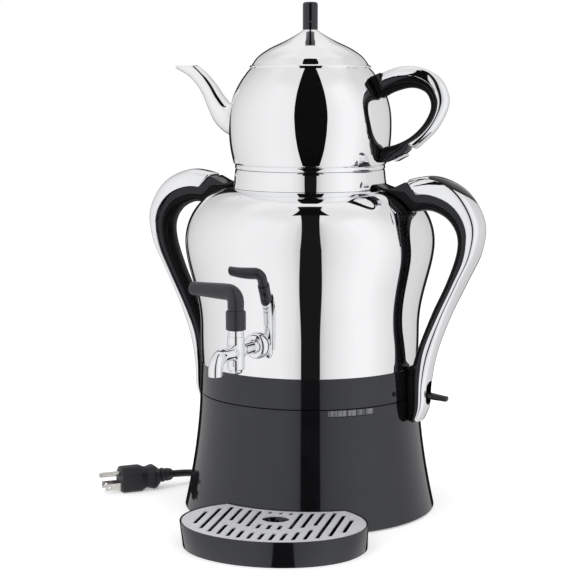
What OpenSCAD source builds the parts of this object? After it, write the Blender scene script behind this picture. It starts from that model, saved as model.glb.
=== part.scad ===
/* [Base] */
// Diameter of the base housing where it meets the table
base_d = 236; // [215:1:290]
// Diameter of the base housing at its upper seam
base_top_d = 205.8; // [185:0.2:255]
// Height of the seam between base housing and upper band
base_h = 109.9; // [90:0.1:135]
// Wall thickness of the plastic housing and band
base_wall = 3; // [2:0.1:4]
// Height of the upper plastic band
band_h = 27.5; // [23:0.5:34]
// Middle diameter of the rubber foot ring
foot_d = 208; // [170:1:215]
// Height of the foot ring
foot_h = 4; // [3:0.5:6]
// Thickness of the base plate
plate_t = 3; // [2:0.5:4]

/* [Boiler] */
// Diameter of the straight lower part of the boiler shell
body_d = 204; // [180:1:250]
// Largest diameter of the boiler shell
bulge_d = 231.6; // [210:0.2:290]
// Height of the boiler shell from band to neck
shell_h = 162; // [135:1:195]
// Wall of the boiler shell
shell_t = 1; // [0.8:0.1:1.6]
// Diameter of the neck collar at its foot
neck_d = 141.4; // [130:0.2:160]
// Height of the neck collar
collar_h = 17.4; // [14:0.2:22]
// Outer diameter of the water tank
tank_d = 180; // [150:1:190]
// Wall of the water tank
tank_t = 0.8; // [0.6:0.1:1.5]

/* [Teapot] */
// Largest diameter of the teapot
pot_d = 150; // [140:1:180]
// Height of the teapot body from its foot to the lid seam
pot_h = 92.6; // [80:0.2:112]
// Wall of the teapot
pot_t = 1; // [0.8:0.1:1.5]
// Diameter of the lid rim
lid_d = 111.2; // [100:0.2:125]
// Height of the lid from its rim to the knob
lid_h = 34; // [28:1:42]
// Diameter of the lid knob
knob_d = 13.8; // [11:0.2:18]
// Height of the lid knob
knob_h = 25.2; // [18:0.2:32]

/* [Handles] */
// Reach of the side handles beyond the bulge of the boiler
arm_reach = 57; // [50:0.5:70]
// Width of the metal handle covers at the arch
cover_w = 29; // [24:0.5:34]
// Width of the handle covers at the foot
cover_foot_w = 22; // [18:0.5:28]
// Width of the black handle grips
grip_w = 20; // [16:0.5:24]
// Reach of the teapot handle beyond the teapot
pot_arm_reach = 64; // [52:0.5:76]
// Width of the teapot handle cover
pot_cover_w = 15; // [12:0.5:18]
// Width of the teapot handle grip
pot_grip_w = 12; // [10:0.5:14]

/* [Tap] */
// Height of the tap pipe above the floor
tap_z = 165.8; // [160:0.2:178]
// Distance from the body axis to the tap stem
tap_r = 139; // [130:1:150]
// Distance from the body axis to the outlet
outlet_r = 174; // [164:1:186]
// Outer diameter of the tap barrel
barrel_d = 14.8; // [13:0.2:18]
// Outer diameter of the tap pipe and outlet tube
pipe_d = 12.4; // [11:0.2:14]
// Bore of the pipe and outlet tube
pipe_bore = 8; // [6:0.5:9]
// Diameter of the turning plug in the barrel
plug_d = 10.4; // [9.6:0.1:11.2]
// Diameter of the flange on the shell
flange_d = 24; // [20:0.5:32]
// Length of the lever from the stem to its end
lever_len = 50; // [40:1:60]
// Angle of the closed lever, turned back from the side
lever_back = 10; // [0:1:20]

/* [Drip tray] */
// Width of the tray
tray_w = 164; // [140:1:190]
// Depth of the full tray ellipse
tray_depth = 129; // [120:1:150]
// Distance from the body axis to the centre of the tray
tray_r = 149.5; // [145:0.5:175]
// Height of the tray
tray_h = 22.5; // [18:0.5:28]
// Direction of the tray from the tap, towards the right
tray_turn = 15.3; // [0:0.1:25]
// Wall of the tray
tray_wall = 2.2; // [1.8:0.1:3]
// Distance between the slots of the grille
slot_pitch = 9.3; // [8.6:0.1:10]
// Width of the slots of the grille
slot_w = 3.7; // [2:0.1:4.4]

/* [Clearances] */
// Gap between curved faces that only seat on each other
seat_gap = 0.3; // [0.2:0.05:0.5]
// Radial clearance of a turning fit
run_gap = 0.06; // [0.02:0.01:0.1]
// Radial clearance of a screw, wire or lid in its hole
free_gap = 0.4; // [0.2:0.05:0.8]

/* [Hidden] */
$fn = 96;

// Colours
GLOSS_BLACK = "#2a2b2e";
DARK_GREY = "#45464a";
STEEL = "#c9ccd0";
CHROME = "#dfe2e6";
ALUMINIUM = "#b4b7ba";
RUBBER = "#1b1b1c";
BRASS = "#c8a24a";
CLEAR_GREY = "#8b8d90";
CERAMIC = "#d8d4c8";
GREEN = "#2f6b46";

// Radii and levels that several pieces share
base_r = base_d / 2;
base_top_r = base_top_d / 2;
foot_r = foot_d / 2;
body_r = body_d / 2;
bulge_r = bulge_d / 2;
neck_r = neck_d / 2;
tank_r = tank_d / 2;
pot_r = pot_d / 2;
lid_r = lid_d / 2;
knob_r = knob_d / 2;
rim_lift = 1.2;
seam_gap = 0.5;
spigot_h = 5;
spigot_t = 1.8;
plate_z = foot_h;
band_z = base_h;
shell_z = band_z + band_h;
collar_z = shell_z + shell_h;
pot_z = collar_z + collar_h + 0.2;
lid_z = pot_z + pot_h;
knob_z = lid_z + lid_h;

// Point a fraction t between b and c on a Catmull-Rom curve through a, b, c and d
function curve_point(a, b, c, d, t) = 0.5 * (2 * b + (c - a) * t
    + (2 * a - 5 * b + 4 * c - d) * t * t + (3 * b - a - 3 * c + d) * t * t * t);
// Smooth line through the points p, with n steps between each two
function smooth(p, n) = [
    for (i = [0 : len(p) - 2]) for (k = [0 : n - 1])
        curve_point(p[max(i - 1, 0)], p[i], p[i + 1], p[min(i + 2, len(p) - 1)], k / n),
    p[len(p) - 1]
];
function reversed(p) = [for (i = [len(p) - 1 : -1 : 0]) p[i]];
function unit(v) = v / norm(v);
// The line p moved t to the left of its direction
function beside(p, t) = [
    for (i = [0 : len(p) - 1])
        let (d = unit(p[min(i + 1, len(p) - 1)] - p[max(i - 1, 0)])) p[i] + t * [-d[1], d[0]]
];
function polar(r, a) = [r * cos(a), r * sin(a)];

// Radius of the base housing at height z, a flare that steepens upwards
flare_power = 1.65;
function base_radius(z) = base_top_r
    + (base_r - base_top_r) * pow(max(0, 1 - z / base_h), flare_power);

// Radius of the boiler shell at height z: straight, swelling to the bulge, then a quarter ellipse
straight_h = 0.19 * shell_h;
bulge_h = 0.695 * shell_h;
foot_tuck = 0.9;
swell_power = 1.15;
function ease(u) = u * u * (3 - 2 * u);
function shell_radius(z) =
    let (h = z - shell_z)
    h < straight_h ? body_r - foot_tuck * pow(1 - h / straight_h, 2)
    : h < bulge_h
    ? body_r + (bulge_r - body_r) * ease(pow((h - straight_h) / (bulge_h - straight_h), swell_power))
    : neck_r + (bulge_r - neck_r) * sqrt(max(0, 1 - pow((h - bulge_h) / (shell_h - bulge_h), 2)));

// Radius of the teapot at height z, full at the belly and drawn in to foot and mouth
belly_h = 0.43 * pot_h;
pot_foot_r = pot_r - 6;
pot_mouth_r = lid_r - 1.2;
pot_rim_h = 4;
pot_power = 2.3;
function pot_radius(z) =
    let (h = z - pot_z)
    h < belly_h ? pot_r - (pot_r - pot_foot_r) * pow(1 - h / belly_h, pot_power)
    : pot_r - (pot_r - pot_mouth_r) * pow((h - belly_h) / (pot_h - belly_h), pot_power);

// A thin revolved wall whose outer line, from bottom to top, is p
module revolved_wall(p, t) {
    rotate_extrude() polygon(concat(p, reversed(beside(p, t))));
}
module ring(r1, r2, z, h) {
    rotate_extrude() translate([r1, z]) square([r2 - r1, h]);
}
// A flat shape in the plane through the axis, standing at the direction +X, w thick
module upright(w) {
    rotate([90, 0, 0]) linear_extrude(w, center = true) children();
}
module hole_x(x1, x2, z, r) {
    translate([x1, 0, z]) rotate([0, 90, 0]) cylinder(h = x2 - x1, r = r);
}
module around(n, r, first = 0) {
    for (k = [0 : n - 1]) rotate(first + k * 360 / n) translate([r, 0, 0]) children();
}
// The direction at angle a from the tap side, towards the right
module towards(a) {
    rotate(a - 90) children();
}

// ---------------------------------------------------------------- base

boss_n = 4;
boss_first = 45;
boss_pcd_r = foot_r - 20;
boss_r = 5;
boss_h = 30;
screw_r = 1.9;
screw_head_r = 3.6;
screw_head_h = 2.4;
vent_n = 24;
vent_r = 62;

module foot_ring() {
    color(RUBBER) ring(foot_r - 5, foot_r + 5, 0, foot_h);
}

module base_plate() {
    color(GLOSS_BLACK) difference() {
        translate([0, 0, plate_z])
            cylinder(h = plate_t, r = base_radius(plate_z + plate_t) - base_wall - seat_gap);
        around(boss_n, boss_pcd_r, boss_first)
            translate([0, 0, plate_z - 1]) cylinder(h = plate_t + 2, r = screw_r + free_gap);
        around(vent_n, vent_r)
            translate([-9, -1.5, plate_z - 1]) cube([18, 3, plate_t + 2]);
    }
}

module base_screws() {
    color(STEEL) around(boss_n, boss_pcd_r, boss_first) {
        translate([0, 0, plate_z - screw_head_h]) cylinder(h = screw_head_h, r = screw_head_r);
        translate([0, 0, plate_z]) cylinder(h = plate_t + 12, r = screw_r);
    }
}

cord_z = 15;
relief_r = 6.5;
lamp_turn = 48.4;
lamp_span = 25.2;
lamp_h = 6.2;
deck_z = base_h - 14;
deck_t = 2.5;
deck_bore = 70;

module base_housing() {
    outer = [for (i = [0 : 24]) let (z = rim_lift + i * (base_h - seam_gap / 2 - rim_lift) / 24)
        [base_radius(z), z]];
    color(DARK_GREY) difference() {
        union() {
            revolved_wall(outer, base_wall);
            ring(deck_bore, base_radius(deck_z) - base_wall / 2, deck_z, deck_t);
            around(boss_n, boss_pcd_r, boss_first) {
                translate([0, 0, plate_z + plate_t]) cylinder(h = boss_h, r = boss_r);
                translate([0, -1.2, plate_z + plate_t])
                    cube([base_radius(boss_h + plate_z + plate_t) - boss_pcd_r - 1, 2.4, boss_h]);
            }
        }
        around(boss_n, boss_pcd_r, boss_first)
            translate([0, 0, plate_z]) cylinder(h = plate_t + 14, r = screw_r);
        // cable opening at the back
        translate([0, base_r - 20, cord_z]) rotate([-90, 0, 0]) cylinder(h = 40, r = relief_r + 0.05);
        // window under the seam
        towards(lamp_turn - lamp_span / 2) rotate_extrude(angle = lamp_span)
            translate([base_top_r - 10, base_h - seam_gap / 2 - lamp_h]) square([20, lamp_h + 2]);
        // seats of the handle feet and their screws
        handle_screw_holes(foot_screw_z);
    }
}

band_r = base_top_r;
band_top_r = body_r - foot_tuck + 0.4;
floor_ledge = 7;
floor_t = 1.2;

module band_ring() {
    color(DARK_GREY) difference() {
        union() {
            rotate_extrude() polygon([
                [band_r, band_z + seam_gap / 2], [band_top_r, shell_z],
                [body_r - foot_tuck - shell_t - 0.2, shell_z],
                [body_r - foot_tuck - shell_t - 0.2, shell_z + spigot_h],
                [body_r - foot_tuck - shell_t - 0.2 - spigot_t, shell_z + spigot_h],
                [body_r - foot_tuck - shell_t - 0.2 - spigot_t, shell_z - floor_ledge],
                [body_r - foot_tuck - shell_t - 0.2 - spigot_t - 3.5, shell_z - floor_ledge],
                [body_r - foot_tuck - shell_t - 0.2 - spigot_t - 3.5, shell_z - floor_ledge - 2.5],
                [band_r - base_wall - 0.2, shell_z - floor_ledge - 4],
                [band_r - base_wall - 0.2, band_z + seam_gap / 2]
            ]);
            // lip that drops inside the housing
            ring(band_r - base_wall - 0.2 - spigot_t, band_r - base_wall - 0.2,
                band_z - 3, 3 + seam_gap + 6);
        }
    }
}

module indicator_window() {
    color(CLEAR_GREY) towards(lamp_turn - lamp_span / 2 + 0.15)
        rotate_extrude(angle = lamp_span - 0.3)
            translate([base_top_r - base_wall, base_h - seam_gap / 2 - lamp_h + 0.15])
                square([base_wall - 0.2, lamp_h - 0.3]);
}

lamp_n = 5;
lamp_r = 2;
lamp_z = base_h - seam_gap / 2 - lamp_h / 2;
lamp_front = base_top_r - base_wall - 5.4;
lamp_board_x = lamp_front - 9.5;
lamp_pitch = 8.8;

module indicator_lamps() {
    color(GREEN) towards(lamp_turn) for (k = [0 : lamp_n - 1])
        translate([0, (k - (lamp_n - 1) / 2) * lamp_pitch, 0])
            hole_x(lamp_board_x, lamp_front, lamp_z, lamp_r);
}

module lamp_board() {
    color(GREEN) towards(lamp_turn) translate([lamp_board_x - 1.6, -24, deck_z + deck_t])
        cube([1.6, 48, base_h - deck_z + 8 - deck_t]);
}

block_h = 16;
block_y = 12;
module terminal_block() {
    color(CERAMIC) difference() {
        translate([-20, wire_y - block_y / 2, plate_z + plate_t]) cube([40, block_y, block_h]);
        for (x = [-12, 12]) translate([x, wire_y - block_y, cord_z])
            rotate([-90, 0, 0]) cylinder(h = 2 * block_y, r = 3);
    }
}

// ---------------------------------------------------------------- heater

heater_z = shell_z + 6.8;
heater_t = 6;
heater_r = tank_r - 18;
element_r = heater_r - 18;
element_tube_r = 4;
tank_z = heater_z + heater_t;
stud_r = 2;
stud_pcd_r = heater_r - 7;
floor_z = shell_z - floor_ledge;

module shell_floor() {
    color(STEEL) difference() {
        translate([0, 0, floor_z])
            cylinder(h = floor_t, r = body_r - foot_tuck - shell_t - 0.2 - spigot_t - seat_gap);
        around(3, stud_pcd_r, 30) translate([0, 0, floor_z - 1]) cylinder(h = 4, r = stud_r + 0.2);
        for (x = [-wire_x, 0, wire_x]) translate([x, wire_y, floor_z - 1]) cylinder(h = 4, r = 3);
    }
}

module tank_studs() {
    nut_h = 3.2;
    color(STEEL) around(3, stud_pcd_r, 30) {
        translate([0, 0, floor_z - nut_h - 2]) cylinder(h = heater_z - floor_z + nut_h + 2, r = stud_r);
        translate([0, 0, floor_z - nut_h]) cylinder(h = nut_h, r = 3.8, $fn = 6);
    }
}

module heater_plate() {
    color(ALUMINIUM) difference() {
        translate([0, 0, heater_z]) cylinder(h = heater_t, r = heater_r);
        rotate_extrude() translate([element_r, heater_z]) circle(r = element_tube_r + 0.1);
    }
}

module heating_element() {
    color(STEEL) rotate(100) rotate_extrude(angle = 340)
        translate([element_r, heater_z]) circle(r = element_tube_r);
}

module thermostat() {
    color(CERAMIC) translate([0, 0, heater_z - 8]) cylinder(h = 8, r = 9);
    color(BRASS) for (x = [-6, 6]) translate([x - 0.4, -3, heater_z - 11]) cube([0.8, 6, 3]);
}

module thermal_cutout() {
    color(CERAMIC) translate([-24, 0, heater_z - 7]) cylinder(h = 7, r = 7);
    color(BRASS) for (x = [-28, -20]) translate([x - 0.4, -3, heater_z - 10]) cube([0.8, 6, 3]);
}

wire_y = element_r * cos(10);
wire_x = element_r * sin(10);
wire_d = 3;
module internal_wires() {
    bottom = plate_z + plate_t + block_h;
    color(GLOSS_BLACK) {
        for (x = [-wire_x, wire_x]) translate([x, wire_y, bottom])
            cylinder(h = heater_z - element_tube_r - bottom - 0.1, r = wire_d / 2);
        translate([0, wire_y, bottom]) cylinder(h = heater_z - bottom - 0.1, r = wire_d / 2);
    }
}

// ---------------------------------------------------------------- boiler

module boiler_shell() {
    steps = 48;
    outer = [for (i = [0 : steps]) let (u = i / steps, z = shell_z + shell_h * (1 - pow(1 - u, 1.6)))
        [shell_radius(z), z]];
    color(CHROME) difference() {
        revolved_wall(outer, shell_t);
        towards(0) hole_x(body_r - 15, body_r + 15, tap_z, pipe_d / 2 + 0.2);
        handle_screw_holes(arch_screw_z);
    }
}

tank_neck_r = neck_r - 5.6;
tank_bottom_corner = 6;
module water_tank() {
    shoulder_z = collar_z - 20;
    c = tank_bottom_corner;
    outer = concat(
        [[0.01, tank_z]],
        [for (a = [-90 : 15 : 0]) [tank_r - c, tank_z + c] + polar(c, a)],
        smooth([[tank_r, tank_z + c + 4], [tank_r, shoulder_z - 42], [tank_r - 5, shoulder_z - 12],
            [tank_neck_r + 5, shoulder_z + 9], [tank_neck_r, shoulder_z + 14]], 5),
        [[tank_neck_r, collar_z + collar_h - 4]]);
    color(STEEL) difference() {
        revolved_wall(outer, tank_t);
        towards(0) hole_x(tank_r - 15, tank_r + 15, tap_z, pipe_d / 2 + 0.2);
    }
}

collar_top_r = neck_r - 1.4;
collar_in_r = tank_neck_r + 0.1;
collar_ledge = 3.6;
module boiler_collar() {
    z0 = collar_z + 0.3;
    top = collar_z + collar_h;
    color(CHROME) rotate_extrude() polygon(concat(
        [[collar_in_r, z0 - 5], [neck_r - 3, z0 - 5], [neck_r - shell_t - 0.4, z0 - 4],
         [neck_r - shell_t - 0.4, z0 - 0.1], [neck_r + 0.8, z0 - 0.1], [neck_r, z0 + 3.6],
         [neck_r - 0.8, z0 + 9.6]],
        [for (a = [0 : 30 : 90]) [collar_top_r - 1.5, top - 1.5] + polar(1.5, a)],
        [[pot_spigot_r + 0.6, top], [pot_spigot_r + 0.6, top - collar_ledge],
         [collar_in_r, top - collar_ledge]]));
}

lid_vent_r = 14;
module water_lid() {
    top = collar_z + collar_h;
    z = top - collar_ledge;
    r = pot_spigot_r + 0.3;
    t = 0.8;
    color(STEEL) difference() {
        union() {
            rotate_extrude() polygon([
                [lid_vent_r, z - 5], [tank_neck_r - 8, z - 5], [tank_neck_r - 3, z],
                [r, z], [r, z + t], [tank_neck_r - 3.4, z + t],
                [tank_neck_r - 8.4, z - 5 + t], [lid_vent_r, z - 5 + t]
            ]);
            ring(lid_vent_r, lid_vent_r + t, z - 5, 4);
        }
        around(12, 34) translate([0, 0, z - 8]) cylinder(h = 8, r = 2.5);
    }
}

// ---------------------------------------------------------------- side handles

foot_z = base_h - 20;
arm_top_z = collar_z + 15;
arm_span = arm_top_z - foot_z;
lean_share = 0.72;
arm_ref = 57.5;
// A point of the handle: out from the leaning body line, and up as a fraction of the handle
function arm_point(p) =
    let (f = p[1])
    [base_top_r + (bulge_r - base_top_r) * min(1, max(0, f) / lean_share) + p[0] * arm_reach / arm_ref,
     foot_z + f * arm_span];
function arm_line(p, n) = smooth([for (q = p) arm_point(q)], n);

arm_outer = arm_line([[-18, 0.978], [11, 0.995], [39, 0.94], [55.6, 0.822], [53.4, 0.7],
    [43.5, 0.586], [30.5, 0.44], [20.5, 0.285], [17, 0.16], [17, 0.065], [11.5, 0]], 7);
arm_border = arm_line([[-16.3, 0.915], [8.5, 0.924], [31.2, 0.885], [44.4, 0.798], [44, 0.682],
    [34.8, 0.566], [22.4, 0.433], [12.3, 0.304], [10.2, 0.188], [11.4, 0.065], [9, 0.012]], 7);
arm_inner = arm_line([[-8, 0.851], [7.5, 0.856], [23, 0.826], [32.3, 0.767], [33, 0.693],
    [26, 0.577], [15.4, 0.461], [7, 0.352], [1.5, 0.268], [-0.5, 0.224]], 7);
arm_contact_low = 0.206;
arm_contact_high = 0.838;
function arm_z(f) = foot_z + f * arm_span;

// Radius of whatever the handle lies against at height z
function outside_radius(z) = z < band_z ? base_radius(z)
    : z < shell_z ? band_r + (band_top_r - band_r) * (z - band_z) / band_h
    : shell_radius(z);
function contact(z1, z2, n) = [for (i = [0 : n]) let (z = z1 + (z2 - z1) * i / n)
    [outside_radius(z) + seat_gap, z]];

foot_screw_z = foot_z + 12.6;
arch_screw_z = collar_z - 16;
handle_screw_r = 2;
module handle_screw_holes(z) {
    for (s = [0, 180]) rotate(s) hole_x(outside_radius(z) - 8, outside_radius(z) + 4, z,
        handle_screw_r + 0.2);
}

// Radial step of the shoulder where the mount block ends against the collar
block_in_r = neck_r + 1.2;
module grip_shape() {
    polygon(concat(
        [[block_in_r, arm_z(0.958)], [arm_border[0][0] - 5, arm_z(0.95)]],
        arm_border,
        [[outside_radius(foot_z) + 6, foot_z - 0.5], [outside_radius(foot_z) + seat_gap, foot_z + 1.5]],
        contact(foot_z + 3, arm_z(arm_contact_low), 14),
        reversed(arm_inner),
        contact(arm_z(arm_contact_high), collar_z - 6, 10),
        [for (i = [1 : 5]) let (z = collar_z - 6 + i * 1.1) [shell_radius(z) + seat_gap, z]],
        [[block_in_r, collar_z + 0.6]]));
}

module grip_solid() {
    difference() {
        upright(grip_w) grip_shape();
        hole_x(body_r - 20, base_top_r + 10, foot_screw_z, handle_screw_r);
        hole_x(body_r - 20, outside_radius(arch_screw_z) + 12, arch_screw_z, handle_screw_r);
    }
}

// Half-width of the cover, drawn in below the arch
module cover_taper(share) {
    w1 = share * cover_w / 2;
    w2 = share * cover_foot_w / 2;
    top = arm_top_z + 5;
    rotate([90, 0, 90]) linear_extrude(bulge_r + arm_reach + 20) polygon([
        [-w2, foot_z - 5], [w2, foot_z - 5], [w2, arm_z(0.28)], [w1, arm_z(0.72)], [w1, top],
        [-w1, top], [-w1, arm_z(0.72)], [-w2, arm_z(0.28)]
    ]);
}

// A crown stepped towards the middle of a cover. Each step is a share of the width, the depths
// where it starts and ends as shares of the cover's own depth, and the points left off its ends
crown_steps = [[1, 0.44, 1, 0], [0.82, 0.21, 0.7, 1], [0.52, 0, 0.5, 2]];
function between(p, q, share, cut) = [
    for (i = [cut : len(p) - 1 - cut]) p[i] + share * (q[i] - p[i])
];
module crown_shape(outer, border, c) {
    polygon(concat(between(outer, border, c[1], c[3]), reversed(between(outer, border, c[2], c[3]))));
}
module cover_solid() {
    for (c = crown_steps) intersection() {
        upright(cover_w + 2) crown_shape(arm_outer, beside(arm_border, 0.1), c);
        cover_taper(c[0]);
    }
}

switch_x = base_top_r + 8;
switch_z = foot_z + 25.2;
slot_h = 22;
slot_r = 5.8;
slot_z = switch_z + 1.8;
module switch_slot(r, x1, x2) {
    for (s = [-1, 1]) hole_x(x1, x2, slot_z + s * (slot_h / 2 - slot_r), r);
    translate([x1, -r, slot_z - slot_h / 2 + slot_r]) cube([x2 - x1, 2 * r, slot_h - 2 * slot_r]);
}

module handle_right_grip() {
    color(GLOSS_BLACK) difference() {
        grip_solid();
        // pocket for the switch
        translate([switch_x - 6.2, -8.2, switch_z - 10.2]) cube([30, 16.4, 24.4]);
    }
}
module handle_right_cover() {
    color(CHROME) difference() {
        cover_solid();
        switch_slot(slot_r, base_top_r, base_top_r + 40);
    }
}
module handle_left_grip() {
    color(GLOSS_BLACK) rotate(180) grip_solid();
}
module handle_left_cover() {
    color(CHROME) rotate(180) cover_solid();
}

module handle_screws() {
    head_r = handle_screw_r + 1.8;
    for (z = [foot_screw_z, arch_screw_z]) {
        edge = z + head_r;
        lean = (outside_radius(edge - 1) - outside_radius(edge + 1)) / 2;
        wall = (z == arch_screw_z ? shell_t : base_wall) * sqrt(1 + lean * lean);
        inner = outside_radius(edge) - wall - 0.4;
        hole_x(inner - 2, inner, z, head_r);
        hole_x(inner - 0.01, outside_radius(z) + (z == foot_screw_z ? 6.5 : 9), z, handle_screw_r);
    }
}
module handle_right_screws() {
    color(STEEL) handle_screws();
}
module handle_left_screws() {
    color(STEEL) rotate(180) handle_screws();
}

// ---------------------------------------------------------------- switch

pin_r = 1.25;
hub_r = 4;
lever_w = 8;
module switch_body() {
    color(GLOSS_BLACK) difference() {
        translate([switch_x - 6, -8, switch_z - 10]) cube([9.4, 16, 24]);
        translate([switch_x - 4.6, -lever_w / 2 - 0.3, switch_z - 9]) cube([20, lever_w + 0.6, 22]);
        translate([switch_x, -10, switch_z]) rotate([-90, 0, 0]) cylinder(h = 20, r = pin_r);
    }
}
module switch_pin() {
    color(STEEL) translate([switch_x, -7.6, switch_z]) rotate([-90, 0, 0])
        cylinder(h = 15.2, r = pin_r);
}
lever_out = 29;
lever_tilt = 5;
module switch_lever() {
    color(GLOSS_BLACK) difference() {
        translate([switch_x, 0, switch_z]) rotate([0, lever_tilt, 0]) rotate([90, 0, 0])
            linear_extrude(lever_w, center = true) {
                circle(r = hub_r);
                polygon([[0, -3.4], [lever_out - 2, -2.2], [lever_out - 2, 2.2], [0, 3.6]]);
                translate([lever_out - 2, 0]) circle(r = 2.2);
            }
        translate([switch_x, -10, switch_z]) rotate([-90, 0, 0]) cylinder(h = 20, r = pin_r + run_gap);
    }
}

// ---------------------------------------------------------------- tap
// The tap is drawn along +X and turned to the front

barrel_low = tap_z - 15;
barrel_top = tap_z + 13.6;
bonnet_h = 5.8;
elbow_r = 12;
outlet_z = tap_z - 16;
washer_r = flange_d / 2 - 3;
nut_x = sqrt(pow(tank_r - tank_t, 2) - pow(washer_r, 2)) - 0.3;

module elbow(r) {
    translate([outlet_r - elbow_r, 0, tap_z - elbow_r]) rotate([90, 0, 0])
        rotate_extrude(angle = 90) translate([elbow_r, 0]) circle(r = r);
}
module tap_passage(r) {
    hole_x(nut_x - 12, outlet_r - elbow_r, tap_z, r);
    elbow(r);
    translate([outlet_r, 0, outlet_z]) cylinder(h = tap_z - elbow_r - outlet_z, r = r);
}
module tap_body() {
    color(CHROME) towards(0) difference() {
        union() {
            tap_passage(pipe_d / 2);
            translate([tap_r, 0, barrel_low]) cylinder(h = barrel_top - barrel_low, r = barrel_d / 2);
        }
        tap_passage(pipe_bore / 2);
        translate([outlet_r, 0, outlet_z - 1]) cylinder(h = 4, r = pipe_bore / 2);
        hole_x(nut_x - 14, nut_x - 10, tap_z, pipe_bore / 2);
        translate([tap_r, 0, barrel_low - 1])
            cylinder(h = barrel_top - barrel_low + 2, r = plug_d / 2 + run_gap);
    }
}

module tap_flange() {
    r = flange_d / 2;
    x = body_r + 0.5;
    color(CHROME) towards(0) translate([x, 0, tap_z]) rotate([0, 90, 0]) rotate_extrude()
        polygon(concat([[pipe_d / 2 + 0.05, 0], [r, 0]],
            [for (a = [0 : 15 : 75]) [r - 7 + 7 * cos(a), 1 + 5 * sin(a)]],
            [[pipe_d / 2 + 0.05, 6]]));
}

module washer_x(x, t, r) {
    difference() {
        hole_x(x, x + t, tap_z, r);
        hole_x(x - 1, x + t + 1, tap_z, pipe_d / 2 + 0.05);
    }
}
washer_t = 2;
module tap_washers() {
    gap_in = sqrt(pow(body_r - shell_t, 2) - pow(washer_r, 2));
    color(RUBBER) towards(0) {
        washer_x(tank_r + 0.2, gap_in - tank_r - 0.4, washer_r);
        washer_x(nut_x - washer_t, washer_t, washer_r);
    }
}

module tap_nut() {
    color(STEEL) towards(0) difference() {
        translate([nut_x - washer_t - 5.1, 0, tap_z]) rotate([0, 90, 0])
            cylinder(h = 5, r = 10, $fn = 6);
        hole_x(nut_x - 14, nut_x, tap_z, pipe_d / 2 + 0.05);
    }
}

stem_r = 4.4;
tail_r = 3;
module tap_plug() {
    color(BRASS) towards(0) difference() {
        union() {
            translate([tap_r, 0, barrel_low]) cylinder(h = barrel_top - barrel_low - 0.1, r = plug_d / 2);
            translate([tap_r, 0, barrel_top - 1]) cylinder(h = bonnet_h + 17, r = stem_r);
            translate([tap_r, 0, barrel_low - 3.4]) cylinder(h = 5, r = tail_r);
        }
        // cross bore, shut at rest
        translate([tap_r, 0, tap_z]) rotate([90, 0, 0]) cylinder(h = 30, r = pipe_bore / 2 - 1,
            center = true);
    }
}
module tap_bonnet() {
    color(CHROME) towards(0) translate([tap_r, 0, 0]) difference() {
        translate([0, 0, barrel_top]) cylinder(h = bonnet_h - 0.2, r = barrel_d / 2 - 0.4);
        translate([0, 0, barrel_top - 1]) cylinder(h = bonnet_h + 2, r = stem_r + run_gap);
    }
}
module tap_base_nut() {
    color(CHROME) towards(0) translate([tap_r, 0, 0]) difference() {
        rotate_extrude() polygon([[0.01, barrel_low - 4.4], [3, barrel_low - 4.4],
            [5, barrel_low - 3], [6, barrel_low - 0.15], [0.01, barrel_low - 0.15]]);
        translate([0, 0, barrel_low - 3.4]) cylinder(h = 5, r = tail_r);
    }
}

cap_z = barrel_top + bonnet_h;
cap_h = 16.7;
cap_r = 8.7;
grip_r1 = 7.2;
grip_r2 = 6.1;
grip_bend = 8.5;
grip_z = cap_z + cap_h + 15.4;
module tap_grip() {
    color(GLOSS_BLACK) towards(0) translate([tap_r, 0, 0]) difference() {
        union() {
            translate([0, 0, cap_z]) cylinder(h = cap_h, r = cap_r);
            translate([0, 0, cap_z + cap_h]) cylinder(h = grip_z - grip_bend - cap_z - cap_h,
                r = grip_r1);
            rotate(-90 - lever_back) {
                translate([grip_bend, 0, grip_z - grip_bend]) rotate([90, 0, 0])
                    rotate([0, 0, 90]) rotate_extrude(angle = 90) translate([grip_bend, 0])
                        circle(r = grip_r1);
                translate([grip_bend, 0, grip_z]) rotate([0, 90, 0])
                    cylinder(h = lever_len - grip_bend - 2, r1 = grip_r1, r2 = grip_r2);
                translate([lever_len - 2, 0, grip_z]) rotate([0, 90, 0])
                    cylinder(h = 2, r1 = grip_r2, r2 = grip_r2 - 1.6);
            }
        }
        translate([0, 0, cap_z - 1]) cylinder(h = 17.1, r = stem_r);
    }
}

// ---------------------------------------------------------------- drip tray
// Drawn with the far side at +X and turned to its direction

function ellipse(a, b, n) = [for (i = [0 : n - 1]) [tray_r + b * cos(i * 360 / n), a * sin(i * 360 / n)]];
module tray_outline(inset) {
    polygon(ellipse(tray_w / 2 - inset, tray_depth / 2 - inset, 96));
}
// Body that clears the flare of the base, d further out
module base_clearance(d) {
    translate([0, 0, -1])
        cylinder(h = tray_h + 2, r1 = base_radius(0) + 0.8 + d, r2 = base_radius(tray_h + 1) + 0.8 + d);
}
module tray_layer(inset, back, z1, z2) {
    difference() {
        translate([0, 0, z1]) linear_extrude(z2 - z1) tray_outline(inset);
        base_clearance(back);
    }
}
grille_t = 1;
grille_z = tray_h - 0.5 - grille_t;
ledge_w = 2;
rim_t = 1.5;
module drip_tray() {
    color(DARK_GREY) towards(tray_turn) difference() {
        tray_layer(0, 0, 0, tray_h);
        tray_layer(tray_wall + ledge_w, tray_wall + ledge_w, tray_wall, tray_h + 2);
        tray_layer(rim_t, rim_t, grille_z, tray_h + 2);
    }
}

module slot(x1, x2, y) {
    r = slot_w / 2;
    translate([x1 + r, y, grille_z - 1]) cylinder(h = grille_t + 2, r = r, $fn = 24);
    translate([x2 - r, y, grille_z - 1]) cylinder(h = grille_t + 2, r = r, $fn = 24);
    translate([x1 + r, y - r, grille_z - 1]) cube([x2 - x1 - slot_w, slot_w, grille_t + 2]);
}
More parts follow.
